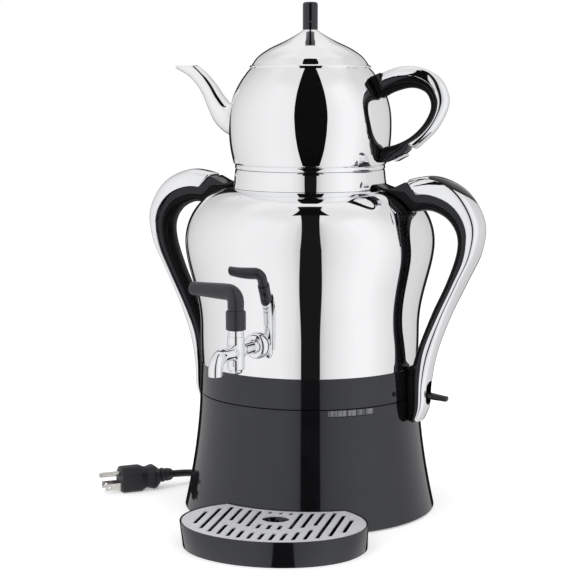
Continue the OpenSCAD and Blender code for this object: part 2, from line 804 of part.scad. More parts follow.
// Slot ends, front and back, that leave an even border inside the rim
slot_border = 8.5;
function slot_reach(y) = (tray_depth / 2 - slot_border)
    * sqrt(max(0.02, 1 - pow(y / (tray_w / 2 - slot_border - 3.5), 2)));
function slot_front(y) = tray_r + slot_reach(y);
function slot_back(y) = max(tray_r - slot_reach(y), sqrt(max(0, pow(base_radius(tray_h) + 5, 2) - y * y)));
// Middle of the arched bridge between the front and the back row of slots
bridge_half = 5.5;
bridge_columns = 4;
function bridge(y) = tray_r + 30.5 - 20 * pow(y / (bridge_columns * slot_pitch), 2);
eye_r = tray_r - 8;
eye_half = 10.5;
module drip_grille() {
    color(STEEL) towards(tray_turn) difference() {
        tray_layer(rim_t + seat_gap, rim_t + seat_gap, grille_z, grille_z + grille_t);
        for (k = [-7 : 7]) {
            y = k * slot_pitch;
            if (abs(k) > bridge_columns) {
                slot(slot_back(y), slot_front(y), y);
            } else {
                slot(bridge(y) + bridge_half, slot_front(y), y);
                if (abs(k) > 1) {
                    slot(slot_back(y), bridge(y) - bridge_half, y);
                } else {
                    slot(eye_r + eye_half + 6, bridge(y) - bridge_half, y);
                    slot(slot_back(y), eye_r - eye_half - 5, y);
                }
            }
        }
        // finger hole shaped like an eye
        intersection() {
            for_eye(-1);
            for_eye(1);
        }
    }
}
eye_w = 25;
module for_eye(side) {
    r = (pow(eye_w / 2, 2) + pow(eye_half, 2)) / (2 * eye_half);
    translate([eye_r + side * (r - eye_half), 0, grille_z - 1]) cylinder(h = grille_t + 2, r = r);
}

// ---------------------------------------------------------------- teapot

pot_floor_z = pot_z + 1.5;
pot_spigot_r = pot_foot_r - 5.4;
module teapot_body() {
    steps = 40;
    wall = [for (i = [0 : steps]) let (z = pot_z + pot_rim_h + (pot_h - pot_rim_h - 0.6) * i / steps)
        [pot_radius(z), z]];
    t = pot_t;
    rim_r = pot_foot_r + 0.4;
    mouth = pot_mouth_r - 2.2;
    color(CHROME) difference() {
        rotate_extrude() polygon(concat(
            [[0.01, pot_floor_z], [pot_spigot_r - 3, pot_floor_z], [pot_spigot_r - 2, pot_z - 1.2],
             [pot_spigot_r, pot_z - 1.2], [pot_spigot_r, pot_z], [rim_r - 0.8, pot_z],
             [rim_r, pot_z + 0.8], [rim_r, pot_z + pot_rim_h - 0.6]],
            wall,
            [[mouth, lid_z - 0.6], [mouth, lid_z - 0.6 - t]],
            reversed([for (i = [1 : steps - 1]) beside(wall, t)[i]]),
            [[pot_foot_r - 3, pot_z + pot_rim_h], [pot_foot_r - 6, pot_floor_z + t],
             [0.01, pot_floor_z + t]]));
        rotate(180) hole_x(pot_r - 14, pot_r + 8, spout_root_z, spout_bore_r);
    }
}

// Spout: centre line and radius from the body to the tip, drawn along +X and turned to the back of the handle
spout_root_z = pot_z + 44;
spout_bore_r = 11;
spout_path = smooth([[pot_r - 1, spout_root_z], [pot_r + 6, spout_root_z - 0.5],
    [pot_r + 16, spout_root_z + 4.5], [pot_r + 24.5, spout_root_z + 15.5],
    [pot_r + 32, spout_root_z + 27.5], [pot_r + 41, spout_root_z + 38],
    [pot_r + 52, spout_root_z + 46.5], [pot_r + 66.3, spout_root_z + 53]], 3);
spout_radii = smooth([17.6, 14.6, 11.8, 9.7, 8.2, 7.2, 6.4, 5.7], 3);
spout_sides = 20;
spout_wall = 0.9;
spout_cut_z = lid_z + 2.2;

function spout_ring(i, inset) =
    let (p = spout_path[i], last = len(spout_path) - 1,
         d = unit(spout_path[min(i + 1, last)] - spout_path[max(i - 1, 0)]),
         up = [-d[1], d[0]], r = spout_radii[i] - inset)
    [for (k = [0 : spout_sides - 1]) let (a = k * 360 / spout_sides,
        q = [p[0] + r * sin(a) * up[0], r * cos(a), p[1] + r * sin(a) * up[1]])
        i > 0 ? q : on_pot(q)];
// The point q moved out onto the surface of the teapot
function on_pot(q) = let (r = pot_radius(q[2]) + 0.3) [sqrt(r * r - q[1] * q[1]), q[1], q[2]];

// Joins rings of n points each into a closed tube with flat or open ends
function tube_faces(rings, n) = concat(
    [for (i = [0 : rings - 2]) for (k = [0 : n - 1])
        [i * n + k, i * n + (k + 1) % n, (i + 1) * n + (k + 1) % n, (i + 1) * n + k]],
    [[for (k = [n - 1 : -1 : 0]) k]],
    [[for (k = [0 : n - 1]) (rings - 1) * n + k]]);

module spout_tube(inset) {
    rings = len(spout_path);
    polyhedron(points = [for (i = [0 : rings - 1]) each spout_ring(i, inset)],
        faces = tube_faces(rings, spout_sides), convexity = 4);
}
module spout_hollow() {
    rings = len(spout_path);
    n = spout_sides;
    outer = [for (i = [0 : rings - 1]) each spout_ring(i, 0)];
    inner = [for (i = [0 : rings - 1]) each spout_ring(i, spout_wall)];
    m = len(outer);
    polyhedron(points = concat(outer, inner), convexity = 6, faces = concat(
        [for (i = [0 : rings - 2]) for (k = [0 : n - 1])
            [i * n + k, (i + 1) * n + k, (i + 1) * n + (k + 1) % n, i * n + (k + 1) % n]],
        [for (i = [0 : rings - 2]) for (k = [0 : n - 1])
            [m + i * n + k, m + i * n + (k + 1) % n, m + (i + 1) * n + (k + 1) % n, m + (i + 1) * n + k]],
        [for (k = [0 : n - 1]) [k, (k + 1) % n, m + (k + 1) % n, m + k]],
        [for (k = [0 : n - 1]) let (e = (rings - 1) * n)
            [e + k, m + e + k, m + e + (k + 1) % n, e + (k + 1) % n]]));
}
module teapot_spout() {
    color(CHROME) rotate(180) difference() {
        spout_hollow();
        translate([pot_r, -20, spout_cut_z]) cube([100, 40, 40]);
    }
}

module spout_strainer() {
    x = pot_radius(spout_root_z) - 3.5;
    color(STEEL) rotate(180) difference() {
        hole_x(x - 0.6, x, spout_root_z, spout_bore_r + 1.8);
        for (i = [-3 : 3]) for (j = [-3 : 3])
            if (i * i + j * j < 10)
                translate([x - 3, i * 3, spout_root_z + j * 3]) rotate([0, 90, 0])
                    cylinder(h = 6, r = 0.9, $fn = 16);
    }
}

// Teapot handle, drawn in its plane along +X: out from the belly, and up as a fraction of the pot
pot_arm_ref = 64;
function pot_point(p) = [pot_r + p[0] * (p[0] > 0 ? pot_arm_reach / pot_arm_ref : 1), pot_z + p[1] * pot_h];
function pot_line(p, n) = smooth([for (q = p) pot_point(q)], n);
pot_outer = pot_line([[-1, 0.95], [18, 1.008], [38, 0.988], [55, 0.883], [62.7, 0.705],
    [58.8, 0.535], [48.5, 0.371], [32, 0.212]], 6);
pot_border = pot_line([[0, 0.868], [16, 0.914], [34, 0.905], [48.5, 0.813], [54.5, 0.662],
    [50.5, 0.506], [39.5, 0.36], [26, 0.261]], 6);
pot_inner = pot_line([[-2.6, 0.687], [11, 0.763], [28, 0.801], [41.5, 0.749], [46, 0.614],
    [39, 0.457], [26, 0.328], [11, 0.253], [-0.6, 0.232]], 6);

function pot_side(z1, z2, n) = [for (i = [0 : n]) let (z = z1 + (z2 - z1) * i / n)
    [pot_radius(z) + seat_gap, z]];
cap_start = pot_point([22, 0.17]);
cap_end = pot_point([12, 0.112]);
cap_dir = unit(cap_end - cap_start);
cap_t = 2.2;
cap_in = cap_t * [cap_dir[1], -cap_dir[0]];
pot_foot_low = 0.075;
pot_mount_top = 0.905;
module teapot_handle_shape() {
    difference() {
        polygon(concat(
            [[pot_radius(pot_z + pot_mount_top * pot_h) + seat_gap, pot_z + pot_mount_top * pot_h],
             pot_point([-2, 0.95])],
            pot_border,
            [pot_point([29, 0.222]), cap_start, cap_end, pot_point([2, 0.078])],
            pot_side(pot_z + pot_foot_low * pot_h, pot_z + 0.225 * pot_h, 5),
            reversed(pot_inner),
            pot_side(pot_z + 0.69 * pot_h, pot_z + (pot_mount_top - 0.02) * pot_h, 8)));
        polygon([cap_start, cap_end, cap_end - cap_in, cap_start - cap_in]);
    }
}
pot_screw_low = pot_z + 0.15 * pot_h;
pot_screw_high = pot_z + 0.78 * pot_h;
module teapot_handle_grip() {
    color(GLOSS_BLACK) difference() {
        upright(pot_grip_w) teapot_handle_shape();
        for (z = [pot_screw_low, pot_screw_high])
            hole_x(pot_r - 16, pot_radius(z) + 10, z, 1.6);
    }
}
module teapot_handle_cover() {
    color(CHROME) for (c = crown_steps) upright(pot_cover_w * c[0])
        crown_shape(pot_outer, beside(pot_border, 0.1), c);
}
module teapot_handle_end_cap() {
    color(CHROME) upright(pot_grip_w - 2)
        polygon([cap_start, cap_end, cap_end - cap_in, cap_start - cap_in]);
}
module teapot_handle_screws() {
    color(STEEL) for (z = [pot_screw_low, pot_screw_high])
        hole_x(max(pot_radius(z - 1.6), pot_radius(z + 1.6)) + 0.1, pot_radius(z) + 9.5, z, 1.6);
}

module teapot_lid() {
    z = lid_z;
    k = lid_r / 55.6;
    h = lid_h / 34;
    t = 0.9;
    dome = smooth([[lid_r - 1.7 * k, z + 2], [lid_r - 7.7 * k, z + 9.8 * h],
        [lid_r - 18.3 * k, z + 17.2 * h], [lid_r - 33.4 * k, z + 24.4 * h],
        [knob_r + 3, z + 31.4 * h], [knob_r + 0.1, z + lid_h]], 6);
    under = [for (p = reversed(beside(dome, t))) [max(p[0], 2.2), p[1]]];
    plug_r = pot_mouth_r - 2.2 - 0.6;
    color(CHROME) rotate_extrude() polygon(concat(
        [[2.2, z + lid_h - t], [2.2, z + lid_h]],
        reversed(dome),
        [[lid_r, z + 1.4], [lid_r, z + 0.4], [lid_r - 0.4, z], [plug_r, z], [plug_r, z - 8],
         [plug_r - t, z - 8], [plug_r - t, z + 1]],
        [for (p = reversed(under)) if (p[0] < plug_r - t - 0.5 && p[0] > 2.3) p]));
}
module lid_knob() {
    color(GLOSS_BLACK) difference() {
        rotate_extrude() polygon(concat(
            [[0.01, knob_z], [knob_r, knob_z]],
            [for (a = [0 : 15 : 90]) [knob_r - 1.6, knob_z + knob_h - 1.6] + polar(1.6, a)],
            [[0.01, knob_z + knob_h]]));
        translate([0, 0, knob_z - 1]) cylinder(h = 13, r = 1.8);
    }
}
module lid_knob_screw() {
    color(STEEL) {
        translate([0, 0, knob_z - 3]) cylinder(h = 14, r = 1.8);
        translate([0, 0, knob_z - 4.6]) cylinder(h = 1.9, r = 3.6);
    }
}

// ---------------------------------------------------------------- mains lead

cord_d = 7;
cord_r = cord_d / 2;
relief_len = 30;
relief_x = base_radius(cord_z);
relief_end = relief_x + relief_len;
coil_x = -82;
coil_y = 172;
coil_mid_r = 38.5;
// Free stretches of the lead, from the strain relief to the coil and from the coil to the plug
cord_first = [[0, 61, 15], [0, 100, 15], [0, 135, 15], [0, 141, 15], [0, 147, 14.9], [-0.5, 158, 12.4],
    [-3, 170, 8], [-8, 182, 5], [-17, 194, 3.8], [-31, 205, 3.55], [-48, 212, 3.55], [-68, 215, 3.55]];
cord_second = [[-127, 160, 3.55], [-128, 140, 3.55], [-129, 115, 3.55], [-130, 90, 3.6], [-131, 65, 4],
    [-133, 40, 5.5], [-136, 20, 8], [-141, 4, 10.8], [-147.6, -8.5, 12]];
plug_at = [-148, -9, 12];
plug_dir = 231;

module strain_relief() {
    color(RUBBER) difference() {
        translate([0, 0, cord_z]) rotate([-90, 0, 0]) rotate_extrude() polygon(concat(
            [[cord_r + 0.05, relief_x - 8.4], [relief_r + 1.2, relief_x - 8.4],
             [relief_r + 1.2, relief_x - base_wall - 2.3], [relief_r, relief_x - base_wall - 2.3],
             [relief_r, relief_x + 2.3], [relief_r + 1.5, relief_x + 2.3], [relief_r + 1.2, relief_x + 4.4]],
            [for (k = [0 : 3]) for (s = [0, 1])
                [relief_r - 0.4 - 0.4 * k - s * 0.9, relief_x + 6 + 6 * k + s * 2.4]],
            [[cord_r + 0.9, relief_end], [cord_r + 0.05, relief_end]]));
    }
}

function sweep_ring(p, i, r, n) =
    let (last = len(p) - 1, d = unit(p[min(i + 1, last)] - p[max(i - 1, 0)]),
         side = unit(cross([0, 0, 1], d)), up = cross(d, side))
    [for (k = [0 : n - 1]) let (a = (k + 0.5) * 360 / n) p[i] + r * (cos(a) * side + sin(a) * up)];
module swept(p, r, n) {
    polyhedron(points = [for (i = [0 : len(p) - 1]) each sweep_ring(p, i, r, n)],
        faces = [for (f = tube_faces(len(p), n)) reversed(f)], convexity = 6);
}
cord_sides = 10;
module mains_cord() {
    color(GLOSS_BLACK) {
        swept(smooth(cord_first, 2), cord_r, cord_sides);
        swept(smooth(cord_second, 2), cord_r, cord_sides);
    }
}
module cord_coil() {
    color(GLOSS_BLACK) translate([coil_x, coil_y, 0])
        ring(coil_mid_r - cord_d, coil_mid_r + cord_d, 0, 2 * cord_d);
}

// The plug is drawn with its cord end at the origin and its pins towards +X
module placed_plug() {
    translate(plug_at) rotate(plug_dir) children();
}
plug_body_x = 18;
plug_body_len = 36;
pin_spread = 6.35;
pin_rise = 5.6;
module plug_body() {
    face = plug_body_x + plug_body_len;
    color(GLOSS_BLACK) placed_plug() difference() {
        union() {
            rotate([0, 90, 0]) rotate_extrude() polygon([[0.01, 0.2], [5.2, 0.2], [6, 3], [6.4, 7],
                [5, 7.2], [5, 8.6], [7, 8.8], [7, 12], [5.4, 12.2], [5.4, 13.6], [8, 13.8], [8.4, 19], [0.01, 19]]);
            translate([plug_body_x, 0, 0]) rotate([90, 0, 90]) linear_extrude(plug_body_len) polygon([
                [-13, -9], [-9, -12], [9, -12], [13, -9], [11, 6], [5, 12], [-5, 12], [-11, 6]]);
        }
        for (s = [-1, 1]) translate([face - 8, s * pin_spread - 0.8, -pin_rise - 3.2])
            cube([9, 1.6, 6.4]);
        hole_x(face - 8, face + 1, pin_rise, 2.4);
    }
}
module plug_blades() {
    face = plug_body_x + plug_body_len;
    color(STEEL) placed_plug() for (s = [-1, 1]) difference() {
        translate([face - 8, s * pin_spread - 0.8, -pin_rise - 3.2]) cube([24, 1.6, 6.4]);
        translate([face + 12, 20, -pin_rise]) rotate([90, 0, 0]) cylinder(h = 40, r = 1.6);
    }
}
module plug_ground_pin() {
    face = plug_body_x + plug_body_len;
    color(STEEL) placed_plug() {
        hole_x(face - 8, face + 18.6, pin_rise, 2.4);
        translate([face + 18.6, 0, pin_rise]) sphere(r = 2.4);
    }
}

foot_ring();
base_plate();
base_screws();
base_housing();
band_ring();
indicator_window();
indicator_lamps();
lamp_board();
terminal_block();
internal_wires();
shell_floor();
tank_studs();
heater_plate();
heating_element();
thermostat();
thermal_cutout();
boiler_shell();
water_tank();
boiler_collar();
water_lid();
handle_right_grip();
handle_right_cover();
handle_right_screws();
handle_left_grip();
handle_left_cover();
handle_left_screws();
switch_body();
switch_pin();
switch_lever();
tap_body();
tap_flange();
tap_washers();
tap_nut();
tap_plug();
tap_bonnet();
tap_base_nut();
tap_grip();
drip_tray();
drip_grille();
teapot_body();
teapot_spout();
spout_strainer();
teapot_handle_grip();
teapot_handle_cover();
teapot_handle_end_cap();
teapot_handle_screws();
teapot_lid();
lid_knob();
lid_knob_screw();
strain_relief();
mains_cord();
cord_coil();
plug_body();
plug_blades();
plug_ground_pin();
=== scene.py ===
import math

import bmesh
import bpy
from bpy.props import FloatProperty, FloatVectorProperty, IntProperty, PointerProperty
from mathutils import Matrix, Vector


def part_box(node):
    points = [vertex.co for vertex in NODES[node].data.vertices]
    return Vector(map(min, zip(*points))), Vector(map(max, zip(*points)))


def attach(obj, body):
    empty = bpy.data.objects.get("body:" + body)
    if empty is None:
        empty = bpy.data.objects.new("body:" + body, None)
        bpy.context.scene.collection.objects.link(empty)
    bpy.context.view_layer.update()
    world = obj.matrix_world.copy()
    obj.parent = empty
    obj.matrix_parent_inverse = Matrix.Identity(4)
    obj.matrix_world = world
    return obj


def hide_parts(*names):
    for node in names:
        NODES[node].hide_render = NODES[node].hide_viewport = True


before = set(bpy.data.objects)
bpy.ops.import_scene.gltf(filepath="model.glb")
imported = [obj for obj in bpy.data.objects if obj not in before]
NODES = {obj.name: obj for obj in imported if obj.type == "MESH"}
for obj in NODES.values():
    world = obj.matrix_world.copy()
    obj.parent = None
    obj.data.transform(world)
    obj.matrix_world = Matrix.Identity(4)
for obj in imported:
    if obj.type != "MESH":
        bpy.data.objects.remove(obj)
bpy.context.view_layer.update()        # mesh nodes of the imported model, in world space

bl_info = {
    "name": "Samovar",
    "version": (1, 0, 0),
    "blender": (4, 5, 0),
    "location": "3D View > Sidebar > Samovar",
    "description": "Builds an electric samovar with its teapot, tap, drip tray and mains lead",
    "category": "Add Mesh",
}

MM = 0.001
TAU = 2 * math.pi

# Sizes that the solid model has too, in millimetres and degrees.
NECK_R = 102.9                       # the base's top edge
BASE_TOP, BAND_TOP = 109.9, 137.4
SWELL_LOW, SWELL_HIGH = 30.78, 112.59    # above the band
ARM_LOW, ARM_TALL = 89.9, 224.5      # a side handle's foot, and its height
POT_LOW, POT_TALL, POT_R = 317, 92.6, 75
POT_BELLY = 39.818                   # above the teapot's foot
TAP_OUT, TAP_UP = 139, 165.8         # the tap's post and barrel
SWITCH = (110.9, 0, 115.1)
WINDOW_FIRST, WINDOW_SPAN = 35.95 - 90, 24.9
SCREW_RING = 84
LEAD_UP = 15
SHEET = 1.0                          # wall of the boiler and the teapot
CLEAR = 0.3                          # gap that a grip keeps to them


# ---------------------------------------------------------------- lines

def ease(u):
    """A soft step from 0 to 1."""
    u = max(0.0, min(1.0, u))
    return u * u * (3 - 2 * u)


def around(number):
    """Evenly spaced angles round a circle."""
    return [TAU * k / number for k in range(number)]


def blunt(u):
    """A quarter circle from 0 to 1."""
    return math.sqrt(max(0.0, 1 - (1 - u) ** 2))


def between(stops, x, is_eased=False):
    """The value at x between stops of (x, value), on straight or eased steps."""
    for (a, p), (b, q) in zip(stops, stops[1:]):
        if x <= b and is_eased:
            return p + (q - p) * ease((x - a) / (b - a))
        if x <= b:
            return p + (q - p) * (x - a) / (b - a)
    return stops[-1][1]


def on_line(points, t):
    """The point at t on a Catmull-Rom line, where a whole t is one of the given points."""
    last = len(points) - 1
    i = max(0, min(int(t), last - 1))
    t -= i
    four = points[max(i - 1, 0)], points[i], points[i + 1], points[min(i + 2, last)]
    return tuple(0.5 * (2 * q + (r - p) * t + (2 * p - 5 * q + 4 * r - s) * t * t
                        + (3 * q - p - 3 * r + s) * t * t * t) for p, q, r, s in zip(*four))


def smooth(points, steps):
    """Smooth line through the points, with a number of steps between each two."""
    return [on_line(points, i / steps) for i in range((len(points) - 1) * steps + 1)]


def beside(line, distance):
    """The flat line moved to the left of its direction."""
    out = []
    last = len(line) - 1
    for i, (x, y) in enumerate(line):
        ahead, behind = line[min(i + 1, last)], line[max(i - 1, 0)]
        dx, dy = ahead[0] - behind[0], ahead[1] - behind[1]
        size = math.hypot(dx, dy) or 1.0
        out.append((x - distance * dy / size, y + distance * dx / size))
    return out


def rounded(outline, radius, steps=4, closed=True):
    """The outline with its corners rounded; radius is one number, or one for each corner."""
    n = len(outline)
    radii = radius if isinstance(radius, list) else [radius] * n
    out = []
    for i, corner in enumerate(outline):
        v = Vector(corner)
        before, after = Vector(outline[i - 1]) - v, Vector(outline[(i + 1) % n]) - v
        turn = before.angle(after, math.pi)
        is_end = not closed and i in (0, n - 1)
        if radii[i] <= 0 or is_end or turn > math.radians(176):
            out.append(corner)
            continue
        reach = min(radii[i] / math.tan(turn / 2), 0.46 * before.length, 0.46 * after.length)
        a, b = v + before.normalized() * reach, v + after.normalized() * reach
        for t in (k / steps for k in range(steps + 1)):
            out.append(tuple(a * (1 - t) ** 2 + v * 2 * t * (1 - t) + b * t * t))
    return out


# ---------------------------------------------------------------- meshes

def placed(x, y, z, degrees=0, axis="Z"):
    """A place, and a turn there about an axis."""
    return Matrix.Translation((x, y, z)) @ Matrix.Rotation(math.radians(degrees), 4, axis)


def show(data, name):
    """A new object in the scene."""
    obj = bpy.data.objects.new(name, data)
    bpy.context.scene.collection.objects.link(obj)
    return obj


def shade(mesh, angle):
    """Smooth shading with sharp edges over the angle, in degrees."""
    for polygon in mesh.polygons:
        polygon.use_smooth = True
    mesh.set_sharp_from_angle(angle=math.radians(angle))


def weld(mesh, gap, is_thin=False):
    """Joins points closer than the gap, drops faces with no area, and turns faces outwards."""
    work = bmesh.new()
    work.from_mesh(mesh)
    bmesh.ops.remove_doubles(work, verts=work.verts, dist=gap)
    if is_thin:
        bmesh.ops.dissolve_degenerate(work, edges=work.edges, dist=1e-7)
    bmesh.ops.recalc_face_normals(work, faces=work.faces)
    work.to_mesh(mesh)
    work.free()


def solid(name, points, faces, angle=32.0, place=None, marks=None):
    """A closed solid from points in millimetres, with its faces outwards."""
    if place is not None:
        points = [place @ Vector(p) for p in points]
    mesh = bpy.data.meshes.new(name)
    mesh.from_pydata([(x * MM, y * MM, z * MM) for x, y, z in points], [], faces)
    if marks:
        mesh.polygons.foreach_set("material_index", marks)
    weld(mesh, 1e-6, True)
    shade(mesh, angle)
    return show(mesh, name)


def turned(name, outline, steps=144, is_closed=True, angle=32.0, place=None):
    """A turned piece; the outline is (radius, height) and goes round the wall, or pole to pole."""
    n = len(outline)
    points, faces = [], []
    for j, a in enumerate(around(steps)):
        c, s = math.cos(a), math.sin(a)
        points += [(r * c, r * s, z) for r, z in outline]
        k = (j + 1) % steps
        for i in range(n if is_closed else n - 1):
            m = (i + 1) % n
            faces.append((j * n + i, k * n + i, k * n + m, j * n + m))
    return solid(name, points, faces, angle, place)


def lofted(name, rings, is_looped=False, angle=32.0, place=None, marks=None):
    """A skin over rings of equal count, capped at both ends unless it closes on itself.

    Marks, one for each side of a ring, pick a second material along the skin.
    """
    n = len(rings[0])
    count = len(rings)
    faces = []
    for i in range(count if is_looped else count - 1):
        a, b = i * n, (i + 1) % count * n
        faces += [(a + k, a + (k + 1) % n, b + (k + 1) % n, b + k) for k in range(n)]
    if not is_looped:
        faces += [tuple(range(n - 1, -1, -1)), tuple(range((count - 1) * n, count * n))]
    if marks:
        marks = marks * (count - 1) + [0, 0]
    return solid(name, [p for ring in rings for p in ring], faces, angle, place, marks)


def round_tube(path, radii, sides, up):
    """Rings of a round tube along the path, square to it."""
    rings = []
    last = len(path) - 1
    for i, point in enumerate(path):
        ahead = (Vector(path[min(i + 1, last)]) - Vector(path[max(i - 1, 0)])).normalized()
        side = Vector(up).cross(ahead).normalized()
        top = ahead.cross(side)
        rings.append([tuple(Vector(point) + radii[i] * (math.cos(a) * side + math.sin(a) * top))
                      for a in around(sides)])
    return rings


def join(name, pieces, angle=32.0):
    """One object from several, which are removed."""
    work = bmesh.new()
    for piece in pieces:
        work.from_mesh(piece.data)
        bpy.data.objects.remove(piece)
    mesh = bpy.data.meshes.new(name)
    work.to_mesh(mesh)
    work.free()
    shade(mesh, angle)
    return show(mesh, name)


def modify(obj, kind, **settings):
    """Adds a modifier."""
    modifier = obj.modifiers.new(kind.title(), kind)
    for name, value in settings.items():
        setattr(modifier, name, value)
    return modifier


def baked(obj, name, angle=32.0):
    """The object with its modifiers applied, as a plain mesh under the new name."""
    graph = bpy.context.evaluated_depsgraph_get()
    mesh = bpy.data.meshes.new_from_object(obj.evaluated_get(graph))
    bpy.data.objects.remove(obj)
    mesh.name = name
    shade(mesh, angle)
    return show(mesh, name)


def cut(obj, cutter, name, angle=32.0):
    """The object with the cutter taken away."""
    modify(obj, "BOOLEAN", operation="DIFFERENCE", solver="EXACT", object=cutter)
    result = baked(obj, name, angle)
    bpy.data.objects.remove(cutter)
    return result


def copy_of(node_name, name):
    """A merged copy of a CAD node's mesh, with its flat faces joined."""
    work = bmesh.new()
    work.from_mesh(NODES[node_name].data)
    bmesh.ops.remove_doubles(work, verts=work.verts, dist=2e-6)
    bmesh.ops.dissolve_limit(work, angle_limit=math.radians(0.8), verts=work.verts, edges=work.edges)
    mesh = bpy.data.meshes.new(name)
    work.to_mesh(mesh)
    work.free()
    return show(mesh, name)


def eased(node_name, name, width, segments=3, angle=32.0):
    """A CAD node's shape with its edges rounded by a small width, in millimetres."""
    obj = copy_of(node_name, name + "_raw")
    modify(obj, "BEVEL", width=width * MM, segments=segments, limit_method="ANGLE",
           angle_limit=math.radians(35))
    return baked(obj, name, angle)


def coat(obj, paint):
    """Gives an object one material."""
    obj.data.materials.clear()
    obj.data.materials.append(bpy.data.materials[paint])


def repaint(paint, *names):
    """Gives CAD nodes that stay in view a material."""
    for name in names:
        coat(NODES[name], paint)


def finish(obj, paint, *names, body="boiler"):
    """Gives a piece its material, unless it has one, and its body, and hides the CAD nodes that it stands
    for.
    """
    if not any(obj.data.materials):
        coat(obj, paint)
    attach(obj, body)
    if names:
        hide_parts(*names)


# ---------------------------------------------------------------- nodes

def feed(tree, made, inputs):
    """Links a node's inputs to sockets, or sets them to plain values."""
    for name, value in inputs.items():
        if isinstance(value, bpy.types.NodeSocket):
            tree.links.new(value, made.inputs[name])
        else:
            made.inputs[name].default_value = value


def node(tree, kind, inputs=None, out=0, **settings):
    """Adds a node with its settings and inputs, and gives one of its outputs."""
    made = tree.nodes.new(kind)
    for name, value in settings.items():
        setattr(made, name, value)
    feed(tree, made, inputs or {})
    return made.outputs[out]


def math_node(tree, operation, first, second=0.0):
    """A math node on two sockets or numbers."""
    return node(tree, "ShaderNodeMath", {0: first, 1: second}, operation=operation)


def product(tree, *factors):
    """The product of sockets or numbers."""
    result = factors[0]
    for factor in factors[1:]:
        result = math_node(tree, "MULTIPLY", result, factor)
    return result


def blank(name):
    """A new node material; gives its tree and its shader."""
    material = bpy.data.materials.new(name)
    material.use_nodes = True
    return material.node_tree, material.node_tree.nodes["Principled BSDF"]


def pattern(tree, scale, detail=3.0, stretch=None):
    """A noise on object coordinates, in cells per metre."""
    place = node(tree, "ShaderNodeTexCoord", out="Object")
    if stretch:
        place = node(tree, "ShaderNodeMapping", {"Vector": place, "Scale": stretch})
    return node(tree, "ShaderNodeTexNoise", {"Vector": place, "Scale": scale, "Detail": detail})


def spread(tree, height, low, high):
    """The height mapped to values from low to high."""
    return node(tree, "ShaderNodeMapRange", {"Value": height, "From Min": 0.3, "From Max": 0.7,
                                             "To Min": low, "To Max": high})


def two_tone(tree, height, dark, light, start=0.35, end=0.65):
    """The height mapped to colours from dark to light."""
    colour = node(tree, "ShaderNodeValToRGB", {"Fac": height})
    stops = colour.node.color_ramp.elements
    for i, place, tone in ((0, start, dark), (1, end, light)):
        stops[i].position = place
        stops[i].color = (*tone, 1.0)
    return colour


def raise_by(tree, shader, height, depth, strength=1.0):
    """Bump of a depth in millimetres, on top of any bump the shader has."""
    inputs = {"Height": height, "Strength": strength, "Distance": depth * MM}
    for link in shader.inputs["Normal"].links:
        inputs["Normal"] = link.from_socket
    feed(tree, shader, {"Normal": node(tree, "ShaderNodeBump", inputs)})


# ---------------------------------------------------------------- finishes

WHITE = (1.0, 1.0, 1.0, 1.0)
# Each plastic has a dark and a light tone, roughness from and to, the strength and depth of its
# grain, and may have its IOR, the grain's scale and its specular level.
PLASTICS = {
    "grip gloss": ((0.0035, 0.0035, 0.0038), (0.0055, 0.0055, 0.006), (0.09, 0.16), 0.35, 0.006,
                   1.55, 1200.0, 0.38),
    "grip inner face": ((0.003, 0.003, 0.0032), (0.005, 0.005, 0.0054), (0.2, 0.3), 0.4, 0.008,
                        1.5, 1400.0, 0.1),
    "lever satin": ((0.013, 0.013, 0.0145), (0.02, 0.02, 0.022), (0.28, 0.38), 0.4, 0.01, 1.55),
    "lead rubber": ((0.014, 0.014, 0.015), (0.024, 0.024, 0.026), (0.42, 0.55), 0.5, 0.014),
    "foot rubber": ((0.02, 0.02, 0.02), (0.035, 0.034, 0.033), (0.7, 0.85), 0.6, 0.03, 1.45, 1100.0),
    "amber lamp": ((0.62, 0.2, 0.03), (0.78, 0.3, 0.05), (0.12, 0.2), 0.1, 0.004),
    "ceramic": ((0.72, 0.7, 0.66), (0.82, 0.81, 0.78), (0.5, 0.65), 0.5, 0.02),
    "wire sleeve": ((0.5, 0.44, 0.3), (0.66, 0.6, 0.44), (0.55, 0.7), 0.7, 0.03),
    "pin hollow": ((0.002, 0.002, 0.002), (0.004, 0.004, 0.004), (0.6, 0.7), 0.2, 0.01),
}
# Each metal has a dark and a light tone, roughness from and to, the depth of its waves, and may
# have a stretch for brushing, the polish's scale and the depth of a grain.
METALS = {
    "bright trim": ((0.86, 0.865, 0.875), (0.9, 0.905, 0.915), (0.02, 0.05), 0.0),
    "satin steel": ((0.52, 0.52, 0.51), (0.64, 0.64, 0.63), (0.24, 0.38), 0.0, (1.0, 1.0, 14.0),
                    160.0, 0.004),
    "heater aluminium": ((0.48, 0.48, 0.48), (0.6, 0.6, 0.61), (0.45, 0.6), 0.0, None, 220.0, 0.03),
    "turned brass": ((0.62, 0.42, 0.17), (0.74, 0.52, 0.24), (0.18, 0.32), 0.0, (1.0, 1.0, 10.0),
                     240.0, 0.003),
    "nickel pins": ((0.62, 0.6, 0.56), (0.74, 0.72, 0.68), (0.16, 0.3), 0.0, None, 300.0, 0.004),
}


def plastic(name, dark, light, rough, grain, depth, ior=1.5, scale=1500.0, level=0.5):
    """Moulded plastic or rubber: two near tones, uneven gloss and a fine grain."""
    tree, shader = blank(name)
    feed(tree, shader, {
        "Base Color": two_tone(tree, pattern(tree, 45.0, 4.0), dark, light),
        "Roughness": spread(tree, pattern(tree, 120.0, 5.0), *rough),
        "IOR": ior, "Specular IOR Level": level, "Specular Tint": (0.9, 0.92, 1.0, 1.0)})
    raise_by(tree, shader, pattern(tree, scale, 2.0), depth, grain)


